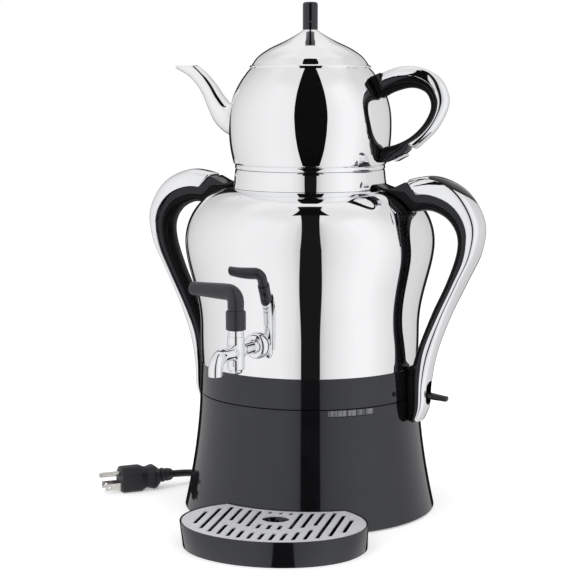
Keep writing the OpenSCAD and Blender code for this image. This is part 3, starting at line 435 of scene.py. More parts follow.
def metal(name, dark, light, rough, wave, stretch=None, scale=60.0, grain=0.0):
    """Bare metal: two near tones, uneven polish and slight waves or brushing."""
    tree, shader = blank(name)
    feed(tree, shader, {
        "Base Color": two_tone(tree, pattern(tree, 30.0), dark, light), "Metallic": 1.0,
        "Roughness": spread(tree, pattern(tree, scale, 5.0, stretch), *rough)})
    if wave:
        raise_by(tree, shader, pattern(tree, 9.0, 1.0), wave)
    if grain:
        raise_by(tree, shader, pattern(tree, scale * 8, 3.0, stretch), grain, 0.5)


def window_finish():
    """Smoked lens plastic with fine upright ribs."""
    tree, shader = blank("smoked window")
    ribs = pattern(tree, 420.0, 1.0, (1.0, 1.0, 0.04))
    tone = two_tone(tree, ribs, (0.07, 0.072, 0.075), (0.19, 0.193, 0.2), 0.4, 0.6)
    feed(tree, shader, {"Base Color": tone, "Roughness": 0.16, "IOR": 1.49})
    raise_by(tree, shader, ribs, 0.03, 0.4)


def grille_finish():
    """Pale satin plate with a fine speckle."""
    tree, shader = blank("grille satin")
    tone = two_tone(tree, pattern(tree, 900.0, 2.0), (0.7, 0.705, 0.725), (0.9, 0.905, 0.92))
    feed(tree, shader, {"Base Color": tone, "Metallic": 0.3,
                        "Roughness": spread(tree, pattern(tree, 260.0, 4.0), 0.34, 0.48)})
    raise_by(tree, shader, pattern(tree, 1600.0, 2.0), 0.01, 0.5)


def board_finish():
    """Circuit board: green lacquer with a check of paler copper tracks."""
    tree, shader = blank("board lacquer")
    place = node(tree, "ShaderNodeTexCoord", out="Object")
    tracks = node(tree, "ShaderNodeTexBrick", {
        "Vector": place, "Scale": 180.0, "Color1": (0.012, 0.07, 0.03, 1.0),
        "Color2": (0.016, 0.09, 0.04, 1.0), "Mortar": (0.05, 0.16, 0.07, 1.0), "Mortar Size": 0.03})
    feed(tree, shader, {"Base Color": tracks,
                        "Roughness": spread(tree, pattern(tree, 200.0), 0.25, 0.4)})


def make_finishes(colours):
    """Makes every material of the samovar."""
    black = tuple(colours.black)
    steel = tuple(colours.steel)
    plastic("black gloss", tuple(0.8 * c for c in black), tuple(1.15 * c for c in black),
            (0.035, 0.075), 0.25, 0.004, 1.62, 900.0)
    metal("mirror steel", tuple(0.985 * c for c in steel), steel, (0.012, 0.03), 0.0012)
    for name, look in PLASTICS.items():
        plastic(name, *look)
    for name, look in METALS.items():
        metal(name, *look)
    window_finish()
    grille_finish()
    board_finish()


# ---------------------------------------------------------------- geometry nodes

def node_tree(name, **numbers):
    """A geometry tree with number inputs and a material; gives it and its inputs' sockets."""
    tree = bpy.data.node_groups.new(name, "GeometryNodeTree")
    new = tree.interface.new_socket
    new("Geometry", in_out="INPUT", socket_type="NodeSocketGeometry")
    for label, value in numbers.items():
        kind = "NodeSocketInt" if isinstance(value, int) else "NodeSocketFloat"
        new(label, in_out="INPUT", socket_type=kind).default_value = value
    new("Material", in_out="INPUT", socket_type="NodeSocketMaterial")
    new("Geometry", in_out="OUTPUT", socket_type="NodeSocketGeometry")
    return tree, tree.nodes.new("NodeGroupInput").outputs


def end_tree(tree, given, inputs):
    """Ends a tree in Instance on Points, Realize Instances and Set Material."""
    copies = node(tree, "GeometryNodeInstanceOnPoints", inputs)
    real = node(tree, "GeometryNodeRealizeInstances", {"Geometry": copies})
    coated = node(tree, "GeometryNodeSetMaterial", {"Geometry": real, "Material": given["Material"]})
    feed(tree, tree.nodes.new("NodeGroupOutput"), {"Geometry": coated})
    return tree


def run_tree(tree, name, paint, place, values):
    """Runs the tree on an empty mesh and returns the plain result, with faces outwards."""
    seed = bpy.data.meshes.new(name + "_seed")
    seed.from_pydata([(0, 0, 0)], [], [])
    obj = show(seed, name + "_seed")
    values["Material"] = bpy.data.materials[paint]
    modifier = modify(obj, "NODES", node_group=tree)
    for item in tree.interface.items_tree:
        if item.in_out == "INPUT" and item.name in values:
            modifier[item.identifier] = values[item.name]
    result = baked(obj, name)
    if not result.data.polygons:
        raise RuntimeError(name + ": the node tree made nothing")
    result.data.transform(place)
    weld(result.data, 1e-7)
    shade(result.data, 32.0)
    coat(result, paint)
    return result


def ring_tree():
    """Rings in a row along +Z that shrink evenly, such as the ribs of a strain relief."""
    tree, given = node_tree("Rings in a row", Count=5, Pitch=0.005, Radius=0.006, Shrink=0.0004,
                            Thickness=0.0013)
    circle = "GeometryNodeCurvePrimitiveCircle"
    step = node(tree, "ShaderNodeCombineXYZ", {"Z": given["Pitch"]})
    row = node(tree, "GeometryNodeMeshLine", {"Count": given["Count"], "Offset": step})
    rail = node(tree, circle, {"Resolution": 64, "Radius": given["Radius"]})
    rib = node(tree, circle, {"Resolution": 12, "Radius": given["Thickness"]})
    body = node(tree, "GeometryNodeCurveToMesh", {"Curve": rail, "Profile Curve": rib})
    lost = product(tree, node(tree, "GeometryNodeInputIndex"), given["Shrink"])
    size = math_node(tree, "SUBTRACT", 1.0, math_node(tree, "DIVIDE", lost, given["Radius"]))
    scale = node(tree, "ShaderNodeCombineXYZ", {"X": size, "Y": size, "Z": 1.0})
    return end_tree(tree, given, {"Points": row, "Instance": body, "Scale": scale})


def fan_tree():
    """Flat-faced pads set round an arc about Z, such as the panes of a window."""
    tree, given = node_tree("Pads round an arc", Count=5, Radius=0.1, First=0.0, Step=0.1,
                            Width=0.008, Height=0.004, Depth=0.001)
    row = node(tree, "GeometryNodeMeshLine", {"Count": given["Count"], "Offset": (0, 0, 0)})
    swing = product(tree, node(tree, "GeometryNodeInputIndex"), given["Step"])
    angle = math_node(tree, "ADD", swing, given["First"])
    x, y = (product(tree, math_node(tree, part, angle), given["Radius"]) for part in ("COSINE", "SINE"))
    spot = node(tree, "ShaderNodeCombineXYZ", {"X": x, "Y": y})
    moved = node(tree, "GeometryNodeSetPosition", {"Geometry": row, "Position": spot})
    size = node(tree, "ShaderNodeCombineXYZ",
                {"X": given["Depth"], "Y": given["Width"], "Z": given["Height"]})
    pad = node(tree, "GeometryNodeMeshCube",
               {"Vertices X": 2, "Vertices Y": 6, "Vertices Z": 3, "Size": size})
    turn = node(tree, "ShaderNodeCombineXYZ", {"Z": angle})
    return end_tree(tree, given, {"Points": moved, "Instance": pad, "Rotation": turn})


# ---------------------------------------------------------------- sizes that follow the solid model

def base_radius(z):
    """Radius of the base housing at a height."""
    return NECK_R + 15.1 * max(0.0, 1 - z / BASE_TOP) ** 1.65


def shell_radius(z):
    """Radius of the boiler shell: straight, swelling, then a quarter ellipse."""
    h = z - BAND_TOP
    if h < SWELL_LOW:
        return 102 - 0.9 * (1 - h / SWELL_LOW) ** 2
    if h < SWELL_HIGH:
        return 102 + 13.8 * ease(((h - SWELL_LOW) / 81.81) ** 1.15)
    return 70.7 + 45.1 * math.sqrt(max(0.0, 1 - ((h - SWELL_HIGH) / 49.41) ** 2))


def outside_radius(z):
    """Radius of whatever a side handle lies against."""
    if z < BASE_TOP:
        return base_radius(z)
    if z < BAND_TOP:
        return NECK_R - 1.4 * (z - BASE_TOP) / 27.5
    return shell_radius(z)


def pot_radius(z):
    """Radius of the teapot, full at the belly."""
    h = z - POT_LOW
    if h < POT_BELLY:
        return POT_R - 6 * (1 - h / POT_BELLY) ** 2.3
    return POT_R - 20.6 * ((h - POT_BELLY) / 52.782) ** 2.3


def arm_height(f):
    """The height at a share of a side handle."""
    return ARM_LOW + ARM_TALL * f


def arm_line(*points):
    """A line of a side handle: out from the leaning body line, and up as a share of it."""
    return [(NECK_R + 12.9 * min(1.0, max(0.0, f) / 0.72) + d * 57 / 57.5, arm_height(f))
            for d, f in points]


def pot_line(*points):
    """A line of the teapot's handle: out from the belly, and up as a share of the pot."""
    return [(POT_R + d, POT_LOW + POT_TALL * f) for d, f in points]


ARM_OUTER = arm_line((-18, 0.978), (11, 0.995), (39, 0.94), (55.6, 0.822), (53.4, 0.7),
                     (43.5, 0.586), (30.5, 0.44), (20.5, 0.285), (17, 0.16), (17, 0.065), (11.5, 0.0))
ARM_BORDER = arm_line((-16.3, 0.915), (8.5, 0.924), (31.2, 0.885), (44.4, 0.798), (44, 0.682),
                      (34.8, 0.566), (22.4, 0.433), (12.3, 0.304), (10.2, 0.188), (11.4, 0.065),
                      (9, 0.012))
ARM_INNER = arm_line((-8, 0.851), (7.5, 0.856), (23, 0.826), (32.3, 0.767), (33, 0.693),
                     (26, 0.577), (15.4, 0.461), (7, 0.352), (1.5, 0.268), (-0.5, 0.224))
POT_OUTER = pot_line((-1, 0.95), (18, 1.008), (38, 0.988), (55, 0.883), (62.7, 0.705),
                     (58.8, 0.535), (48.5, 0.371), (32, 0.212))
POT_BORDER = pot_line((0, 0.868), (16, 0.914), (34, 0.905), (48.5, 0.813), (54.5, 0.662),
                      (50.5, 0.506), (39.5, 0.36), (26, 0.261))
POT_INNER = pot_line((-2.6, 0.687), (11, 0.763), (28, 0.801), (41.5, 0.749), (46, 0.614),
                     (39, 0.457), (26, 0.328), (11, 0.253), (-0.6, 0.232))

CORD_FIRST = [(0, 104, 15), (0, 120, 15), (0, 135, 15), (0, 147, 14.9), (-0.5, 158, 12.4),
              (-3, 170, 8), (-8, 182, 5), (-17, 194, 3.8), (-31, 205, 3.55), (-48, 211.9, 3.55),
              (-67, 214.6, 3.55)]
CORD_SECOND = [(-127, 160, 3.55), (-128, 140, 3.55), (-129, 115, 3.55), (-130, 90, 3.6),
               (-131, 65, 4), (-133, 40, 5.5), (-136, 20, 8), (-141, 4, 10.8), (-147.6, -8.5, 12)]
PLUG = placed(-148, -9, 12, 231)
FRONT = placed(0, 0, 0, -90)


# ---------------------------------------------------------------- settings

def length_field(name, text, value):
    """A setting in metres."""
    return FloatProperty(name=name, description=text, default=value, unit="LENGTH")


def angle_field(name, text, degrees):
    """A setting that is an angle, with its default in degrees."""
    return FloatProperty(name=name, description=text, default=math.radians(degrees), subtype="ANGLE")


def colour_field(name, text, value):
    """A setting that is a colour."""
    return FloatVectorProperty(name=name, description=text, default=value, subtype="COLOR", size=3,
                               min=0.0, max=1.0)


def count_field(name, text, value, most):
    """A setting that is a number of pieces."""
    return IntProperty(name=name, description=text, default=value, min=1, max=most)


class SamovarStageSettings(bpy.types.PropertyGroup):
    """Camera and studio."""
    azimuth: angle_field("Azimuth", "Camera direction from the tap side", 28.0)
    pitch: angle_field("Pitch", "How far the camera looks down", 7.49)
    distance: length_field("Distance", "Camera to the samovar's axis", 1.4874)
    height: length_field("Height", "Camera above the floor", 0.4008)
    sideways: length_field("Sideways", "Camera to the left of the axis", 0.0204)
    lens: FloatProperty(name="Lens", description="Focal length in millimetres on a 36 mm frame",
                        default=100.3)
    floor: length_field("Floor", "Radius of the floor", 6.0)
    gap: angle_field("Dark gap", "Half-angle of the gap between the front lights", 9.6)


class SamovarColourSettings(bpy.types.PropertyGroup):
    """Colours of the main finishes."""
    black: colour_field("Black plastic", "Colour of the base, band and tray", (0.0052, 0.0054, 0.006))
    steel: colour_field("Polished steel", "Colour of the boiler and teapot", (0.935, 0.938, 0.945))


class SamovarHandleSettings(bpy.types.PropertyGroup):
    """Sizes of the side handles and of the teapot's handle."""
    grip_top: length_field("Grip at the arch", "Width of a side grip at its arch", 0.0235)
    grip_foot: length_field("Grip at the foot", "Width of a side grip at its foot", 0.0185)
    cover_top: length_field("Cover at the arch", "Width of a side cover at its arch", 0.029)
    cover_foot: length_field("Cover at the foot", "Width of a side cover at its foot", 0.022)
    groove: length_field("Groove", "Depth of the moulded line along a grip", 0.0007)
    pot_grip: length_field("Teapot grip", "Width of the teapot's grip", 0.012)
    pot_cover: length_field("Teapot cover", "Width of the teapot's handle cover", 0.015)


class SamovarLeadSettings(bpy.types.PropertyGroup):
    """Sizes of the mains lead."""
    diameter: length_field("Diameter", "Thickness of the lead", 0.007)
    inner: length_field("Inner turns", "Radius of the coil's inner turns", 0.035)
    outer: length_field("Outer turns", "Radius of the coil's outer turns", 0.042)
    ribs: count_field("Ribs", "Ribs on the strain relief", 5, 12)


class SamovarDetailSettings(bpy.types.PropertyGroup):
    """Counts of the small fittings."""
    panes: count_field("Panes", "Panes of the indicator window", 5, 9)
    screws: count_field("Base screws", "Screws under the base", 4, 12)


# ---------------------------------------------------------------- stage

# Brightness of the room's wall, by the angle from the view's front in degrees.
ROOM = [(-180, 0.55), (-150, 0.62), (-130, 0.74), (-95, 0.86), (-60, 0.93), (-30, 0.9), (-17, 0.8),
        (-9, 0.6), (9, 0.56), (16, 0.74), (28, 0.86), (48, 0.98), (64, 0.98), (82, 0.86), (100, 0.74),
        (125, 0.72), (150, 0.62), (180, 0.55)]
# Cards: (reach, height, half-width), or lines of (side, reach, height) with a tone.
DARK_CARD = [(76.5, 315.3, 8.6), (79, 316.8, 9.5), (84, 320.8, 12.5), (90, 326, 16.3),
             (97, 331.8, 20.4), (105.7, 338.4, 25), (114.5, 346, 30), (125.5, 359, 36),
             (137, 381, 42.5), (154, 441, 51), (161, 499, 56), (168, 571, 61.5), (173, 647, 67.5),
             (175.5, 700, 71), (173, 752, 72.7), (165, 801, 72.5), (151, 841, 68.8),
             (133, 869, 62.3), (111, 886.5, 53), (97, 891.5, 48)]
LID_CARD = [(14, 452, 9), (24, 452, 16), (40, 452, 22), (57, 452, 26)]
HANDLE_CARD = [
    (0.015, [(105, 59.5, 315), (103.4, 64.6, 314.2), (108.5, 70.2, 312.7), (114.7, 73.8, 310.8),
             (121.3, 78.5, 307.4), (128.9, 80.7, 303.9), (136.3, 79.7, 299.9), (143.9, 74.1, 294.5),
             (148.8, 69.5, 291.2)]),
    (0.07, [(106, 59.2, 314.9), (106.7, 63.4, 314.6), (112, 67.7, 313.4), (117.3, 70.5, 311.8),
            (123.7, 74.9, 309.1), (131, 76.6, 305), (137.8, 75.7, 300.1), (144.9, 71.5, 294.5),
            (149.4, 68.4, 291)]),
    (0.17, [(107, 58.5, 314.5), (109.8, 60.3, 314.1), (115.2, 62.8, 313.4), (119.6, 64.9, 312.1),
            (125.7, 68.7, 309.3), (132.8, 70.5, 305.1), (139.3, 70.8, 300.3), (145.9, 68.3, 294.3),
            (149.9, 66.9, 290.7)]),
    (0.23, [(108.8, 57.3, 314), (112, 58.1, 313.8), (117.4, 59.4, 313.4), (121.2, 61, 312.3),
            (127.1, 64.4, 309.4), (134.1, 66.2, 305.2), (140.4, 67.4, 300.4), (146.6, 66.1, 294.2),
            (150.5, 65.3, 290.5)]),
]


def across(s, side, reach):
    """A spot to the right of the axis and in front of it, as the camera sees them."""
    c, n = math.cos(s.azimuth), math.sin(s.azimuth)
    return reach * n + side * c, side * n - reach * c


def make_camera(s):
    """The camera, looking slightly down from the tap side."""
    data = bpy.data.cameras.new("Camera")
    data.lens = s.lens
    data.sensor_width = 36.0
    data.clip_end = 60.0
    camera = show(data, "Camera")
    camera.location = (*across(s, -s.sideways, s.distance), s.height)
    camera.rotation_euler = (math.pi / 2 - s.pitch, 0.0, s.azimuth)
    bpy.context.scene.camera = camera


def towards(tree, parts, axis):
    """How far a direction points along an axis, as a socket."""
    x, y, z = (math_node(tree, "MULTIPLY", part, share) for part, share in zip(parts, axis))
    return math_node(tree, "ADD", math_node(tree, "ADD", x, y), z)


def soft_step(tree, value, low, high):
    """0 below low and 1 above high, as a socket; a low over high turns it round."""
    return node(tree, "ShaderNodeMapRange", {"Value": value, "From Min": low, "From Max": high},
                interpolation_type="SMOOTHSTEP")


def faded(tree, factor, first, second):
    """A colour mix; each end is a socket or a grey number."""
    first, second = ((v, v, 1.004 * v, 1.0) if isinstance(v, float) else v for v in (first, second))
    return node(tree, "ShaderNodeMix", {"Factor": factor, "A": first, "B": second}, "Result",
                data_type="RGBA")


def mixed(tree, factor, first, second):
    """A mix of two shaders."""
    return node(tree, "ShaderNodeMixShader", {0: factor, 1: first, 2: second})


def make_world(s):
    """Pale room with a dark gap between the front lights and a dark patch behind."""
    world = bpy.data.worlds.new("Studio")
    bpy.context.scene.world = world
    world.use_nodes = True
    tree = world.node_tree
    tree.nodes.clear()
    way = node(tree, "ShaderNodeTexCoord", out="Generated")
    parts = node(tree, "ShaderNodeSeparateXYZ", {"Vector": way}).node.outputs
    c, n = math.cos(s.azimuth), math.sin(s.azimuth)
    ahead = towards(tree, parts, (n, -c, 0.0))
    right = towards(tree, parts, (c, n, 0.0))
    up = parts["Z"]
    angle = math_node(tree, "ARCTAN2", right, ahead)
    share = node(tree, "ShaderNodeMapRange", {"Value": angle, "From Min": -math.pi, "From Max": math.pi})
    wall = node(tree, "ShaderNodeValToRGB", {"Fac": share})
    stops = wall.node.color_ramp.elements
    while len(stops) < len(ROOM):
        stops.new(0.5)
    for stop, (degrees, value) in zip(stops, ROOM):
        stop.position = (degrees + 180.0) / 360.0
        stop.color = (value, value, value * 1.005, 1.0)
    aside = math_node(tree, "ABSOLUTE", right)
    sky = faded(tree, soft_step(tree, ahead, 0.1, -0.25), 0.82, 0.9)
    rear = product(tree, soft_step(tree, up, 0.42, 0.62), soft_step(tree, aside, 0.62, 0.14),
                   soft_step(tree, ahead, -0.1, -0.4))
    high = math_node(tree, "MAXIMUM", soft_step(tree, up, 0.72, 0.9), rear)
    room = faded(tree, high, wall, sky)
    width = math.sin(s.gap)
    raised = product(tree, math_node(tree, "MAXIMUM", up), 0.06)
    spare = math_node(tree, "ADD", aside, raised)
    gap = product(tree, soft_step(tree, spare, width + 0.006, width - 0.006),
                  soft_step(tree, ahead, -0.12, -0.08))
    room = faded(tree, gap, room, 0.0095)
    view = (-n * math.cos(s.pitch), c * math.cos(s.pitch), -math.sin(s.pitch))
    behind = soft_step(tree, towards(tree, parts, view), math.cos(math.radians(30)),
                       math.cos(math.radians(26)))
    room = faded(tree, behind, room, 0.012)
    soft, even, white = (node(tree, "ShaderNodeBackground", {"Color": tone})
                         for tone in ((0.8, 0.8, 0.81, 1.0), room, WHITE))
    light = mixed(tree, node(tree, "ShaderNodeLightPath", out="Is Glossy Ray"), soft, even)
    light = mixed(tree, node(tree, "ShaderNodeLightPath", out="Is Camera Ray"), light, white)
    feed(tree, tree.nodes.new("ShaderNodeOutputWorld"), {"Surface": light})


def half_clear(tree, shader, factor, is_turned=False):
    """Makes a material clear where the factor is 1, or where it is 0 if turned round."""
    pair = [shader.outputs["BSDF"], node(tree, "ShaderNodeBsdfTransparent")]
    surface = mixed(tree, factor, *(pair[::-1] if is_turned else pair))
    feed(tree, tree.nodes["Material Output"], {"Surface": surface})


def make_floor(s):
    """A round pale floor that shows white but keeps shadows, and lets mirrors see the room."""
    tree, shader = blank("floor")
    glow = product(tree, node(tree, "ShaderNodeLightPath", out="Is Camera Ray"), 0.36)
    feed(tree, shader, {"Base Color": (0.82, 0.82, 0.825, 1.0), "Roughness": 0.9,
                        "Specular IOR Level": 0.0, "Emission Color": WHITE, "Emission Strength": glow})
    half_clear(tree, shader, node(tree, "ShaderNodeLightPath", out="Is Glossy Ray"))
    mesh = bpy.data.meshes.new("floor")
    corners = [(s.floor * math.cos(a), s.floor * math.sin(a), 0.0) for a in around(96)]
    mesh.from_pydata(corners, [], [tuple(range(96))])
    floor = show(mesh, "floor")
    coat(floor, "floor")


def place_card(name, paint, s, rows):
    """A sheet through rows of (side, reach, height, tone) points, seen only in mirrors."""
    mesh = bpy.data.meshes.new(name)
    wide = len(rows[0])
    points = [[value * MM for value in (*across(s, *point[:2]), point[2])]
              for row in rows for point in row]
    faces = [(i * wide + j, i * wide + j + 1, (i + 1) * wide + j + 1, (i + 1) * wide + j)
             for i in range(len(rows) - 1) for j in range(wide - 1)]
    mesh.from_pydata(points, [], faces)
    tones = mesh.attributes.new("tone", "FLOAT", "POINT")
    tones.data.foreach_set("value", [point[3] for row in rows for point in row])
    if mesh.polygons[0].normal.z < 0:
        mesh.flip_normals()
    card = show(mesh, name)
    coat(card, paint)
    for kind in ("camera", "diffuse", "shadow", "transmission"):
        setattr(card, "visible_" + kind, False)


def make_cards(s):
    """Cards that mirrors see on one side: dark before the teapot, small ones over lid and handle."""
    looks = (("dark card", {"Base Color": (0.006, 0.006, 0.006, 1.0), "Roughness": 1.0}),
             ("toned card", {"Base Color": (0.0, 0.0, 0.0, 1.0), "Emission Color": WHITE}))
    for name, look in looks:
        tree, shader = blank(name)
        is_toned = "Emission Color" in look
        if is_toned:
            look["Emission Strength"] = node(tree, "ShaderNodeAttribute", out="Fac", attribute_name="tone")
        feed(tree, shader, {**look, "Specular IOR Level": 0.0})
        half_clear(tree, shader, node(tree, "ShaderNodeNewGeometry", out="Backfacing"), is_toned)
    for name, paint, profile, tone in (("dark_card", "dark card", smooth(DARK_CARD, 6), 0.0),
                                       ("lid_card", "toned card", LID_CARD, 0.87)):
        rows = [((-side, reach, z, tone), (side, reach, z, tone)) for reach, z, side in profile]
        place_card(name, paint, s, rows)
    rows = [[(*point, tone) for point in smooth(line, 3)] for tone, line in HANDLE_CARD]
    place_card("handle_card", "toned card", s, rows)


def make_lamps(s):
    """Two soft lamps and a top light that shape the shadows, unseen in mirrors."""
    for name, degrees, reach, lift, size, power in (("left_lamp", -48, 1.8, 0.9, 1.6, 7.0),
                                                    ("right_lamp", 52, 1.8, 1.0, 1.6, 7.5),
                                                    ("top_lamp", 0, 0.25, 1.9, 1.8, 8.0)):
        data = bpy.data.lights.new(name, "AREA")
        data.size = size
        data.energy = power
        lamp = show(data, name)
        a = s.azimuth + math.radians(degrees)
        lamp.location = (reach * math.sin(a), -reach * math.cos(a), lift)
        aim = Vector((0.0, 0.0, 0.2)) - lamp.location
        lamp.rotation_euler = aim.to_track_quat("-Z", "Y").to_euler()
        lamp.visible_glossy = False


class SAMOVAR_OT_stage(bpy.types.Operator):
    """Set the camera, the pale floor, the room and the finishes"""
    bl_idname = "samovar.stage"
    bl_label = "Stage"

    def execute(self, context):
        s = context.scene.samovar_stage
        context.scene.view_settings.view_transform = "Standard"
        make_finishes(context.scene.samovar_colours)
        for make in (make_camera, make_world, make_floor, make_cards, make_lamps):
            make(s)
        return {"FINISHED"}


# ---------------------------------------------------------------- mains lead

def coil_line(s):
    """The lead's way round its coil: two turns low, two turns on top, and down again."""
    inner, outer = s.inner / MM, s.outer / MM
    low = 0.5 * s.diameter / MM + 0.12
    high = low + s.diameter / MM
    radii = [(90, outer + 0.3), (110, outer), (170, inner), (775, inner), (835, outer),
             (1200, outer), (1245, outer + 1.2), (1260, outer + 2.0)]
    heights = [(90, low), (420, low), (475, high), (1200, high), (1222, high - 1.2),
               (1240, low + 3.2), (1256, low + 0.7), (1262, low)]
    line = []
    for step in range(90, 1261, 15):
        r, a = between(radii, step, True), math.radians(step)
        line.append((-82 + r * math.cos(a), 172 + r * math.sin(a), between(heights, step, True)))
    return line


def lead_curve(name, line, diameter):
    """An open round curve through the points, in millimetres."""
    data = bpy.data.curves.new(name, "CURVE")
    data.dimensions = "3D"
    data.bevel_depth = diameter / 2
    data.bevel_resolution = 5
    data.resolution_u = 6
    data.use_fill_caps = True
    spline = data.splines.new("BEZIER")
    spline.bezier_points.add(len(line) - 1)
    for point, spot in zip(spline.bezier_points, line):
        point.co = Vector(spot) * MM
        point.handle_left_type = point.handle_right_type = "AUTO"
    return show(data, name)


def plug_solid():
    """The plug's moulded body: a ribbed neck, two finger wings, a waist and an eight-sided head."""
    section = [(-13, -9), (-9, -12), (9, -12), (13, -9), (11, 6), (5, 12), (-5, 12), (-11, 6)]
    section = rounded(section, 1.6, 3)
    stations = [(13.4, 0.50, 0.50), (14.2, 0.56, 0.56), (16.2, 0.74, 0.70), (18.4, 0.9, 0.84),
                (19.6, 0.945, 0.9), (21.6, 0.955, 0.91), (23.0, 0.93, 0.89), (25.6, 0.80, 0.83),
                (28.0, 0.735, 0.80), (29.6, 0.76, 0.82), (32.6, 0.93, 0.94), (33.8, 0.99, 0.985),
                (35.0, 1.0, 1.0), (51.6, 1.0, 1.0), (53.2, 0.975, 0.975), (54.0, 0.93, 0.93)]
    rings = [[(x, wide * y, tall * z) for y, z in section] for x, wide, tall in stations]
    body = lofted("plug_head", rings, angle=28.0, place=PLUG)
    neck = [(0.0, 0.2), (4.4, 0.2), (5.2, 0.9), (6.0, 3.0), (6.4, 6.4), (6.0, 7.1), (5.0, 7.3),
            (5.0, 8.5), (5.5, 8.8), (6.9, 9.0), (7.0, 11.4), (6.6, 12.1), (5.4, 12.3), (5.4, 13.4),
            (6.6, 13.9), (7.2, 16.0), (0.0, 16.4)]
    collar = turned("plug_neck", neck, 64, False, 40.0, PLUG @ placed(0, 0, 0, 90, "Y"))
    return join("mains_plug", [body, collar], 30.0)


class SAMOVAR_OT_lead(bpy.types.Operator):
    """Make the mains lead with its coil, plug and strain relief"""
    bl_idname = "samovar.lead"
    bl_label = "Mains lead"

    def execute(self, context):
        s = context.scene.samovar_lead
        cord = lead_curve("mains_lead", CORD_FIRST + coil_line(s) + CORD_SECOND, s.diameter)
        finish(cord, "lead rubber", "mains_cord", "cord_coil")
        plug = plug_solid()
        finish(plug, "lead rubber", "plug_body")
        end = base_radius(LEAD_UP)
        taper = [(3.55, -8.4), (7.7, -8.4), (7.7, -5.4), (6.5, -5.2), (6.5, 2.2), (8.0, 2.4),
                 (8.0, 3.8), (7.2, 4.6), (6.0, 5.4), (5.0, 18), (4.6, 28.6), (4.2, 30), (3.55, 30)]
        lie = placed(0, 0, LEAD_UP, -90, "X")
        core = turned("relief_core", [(r, end + z) for r, z in taper], 64, True, 36.0, lie)
        ribs = run_tree(ring_tree(), "relief_ribs", "lead rubber",
                        placed(0, (end + 8.2) * MM, LEAD_UP * MM, -90, "X"),
                        {"Count": s.ribs, "Pitch": 0.0048, "Radius": 0.0053, "Shrink": 0.00025,
                         "Thickness": 0.0012})
        relief = join("lead_strain_relief", [core, ribs], 36.0)
        finish(relief, "lead rubber", "strain_relief")
        stub = turned("lead_inner_end", [(0, 61), (3.3, 61), (3.5, 61.3), (3.5, 104), (0, 104)],
                      32, False, 40.0, lie)
        finish(stub, "lead rubber")
        repaint("nickel pins", "plug_blades", "plug_ground_pin")
        return {"FINISHED"}


# ---------------------------------------------------------------- base and band

def housing_solid():
    """The flared housing, with the window's opening under its top edge."""
    foot, sill, top = 1.2, 103.45, 109.65
    wall = 3.0
    steps, opening = 200, 14         # round the base, and across the opening
    sill_out = 31                    # the sill's place in the outline
    low = [(base_radius(z), z) for z in (foot + (sill - foot) * i / 30 for i in range(31))]
    high = [(base_radius(z), z) for z in (sill + 2.0, sill + 4.0, top - 0.5)]
    outer = low + high + [(base_radius(top) - 0.15, top - 0.1), (base_radius(top) - 0.5, top)]
    inner = [(r - wall, z) for r, z in low[::-1]]
    inner[-1] = (base_radius(foot) - 3.2, foot)
    crown = [(base_radius(top) - wall, top), (base_radius(sill + 3) - wall, sill + 3)]
    outline = outer + crown + inner
    outline[0] = (base_radius(foot) - 0.6, foot)
    outline.insert(1, (base_radius(1.9), 1.9))
    n = len(outline)
    sill_in = n - sill_out
    left, right = 35.8 - 90.0, 61.0 - 90.0
    turns = [left + (right - left) * k / opening for k in range(opening)]
    rest = steps - opening
    turns += [right + (360.0 - (right - left)) * k / rest for k in range(rest)]
    points, faces = [], []
    for j, degrees in enumerate(turns):
        c, s = math.cos(math.radians(degrees)), math.sin(math.radians(degrees))
        points += [(r * c, r * s, z) for r, z in outline]
        k = (j + 1) % steps
        for i in range(n):
            m = (i + 1) % n
            if j >= opening or not sill_out <= i < sill_in:
                faces.append((j * n + i, k * n + i, k * n + m, j * n + m))
        if j < opening:
            faces.append((j * n + sill_out, k * n + sill_out, k * n + sill_in, j * n + sill_in))
    for j in (0, opening):
        faces.append(tuple(j * n + i for i in range(sill_out, sill_in + 1)))
    return solid("base_housing_skin", points, faces, 40.0)


def screw_spots(number):
    """Places evenly round the base, the first at 45 degrees."""
    turns = [math.radians(45 + 360 * k / number) for k in range(number)]
    return [placed(SCREW_RING * math.cos(a), SCREW_RING * math.sin(a), 0) for a in turns]


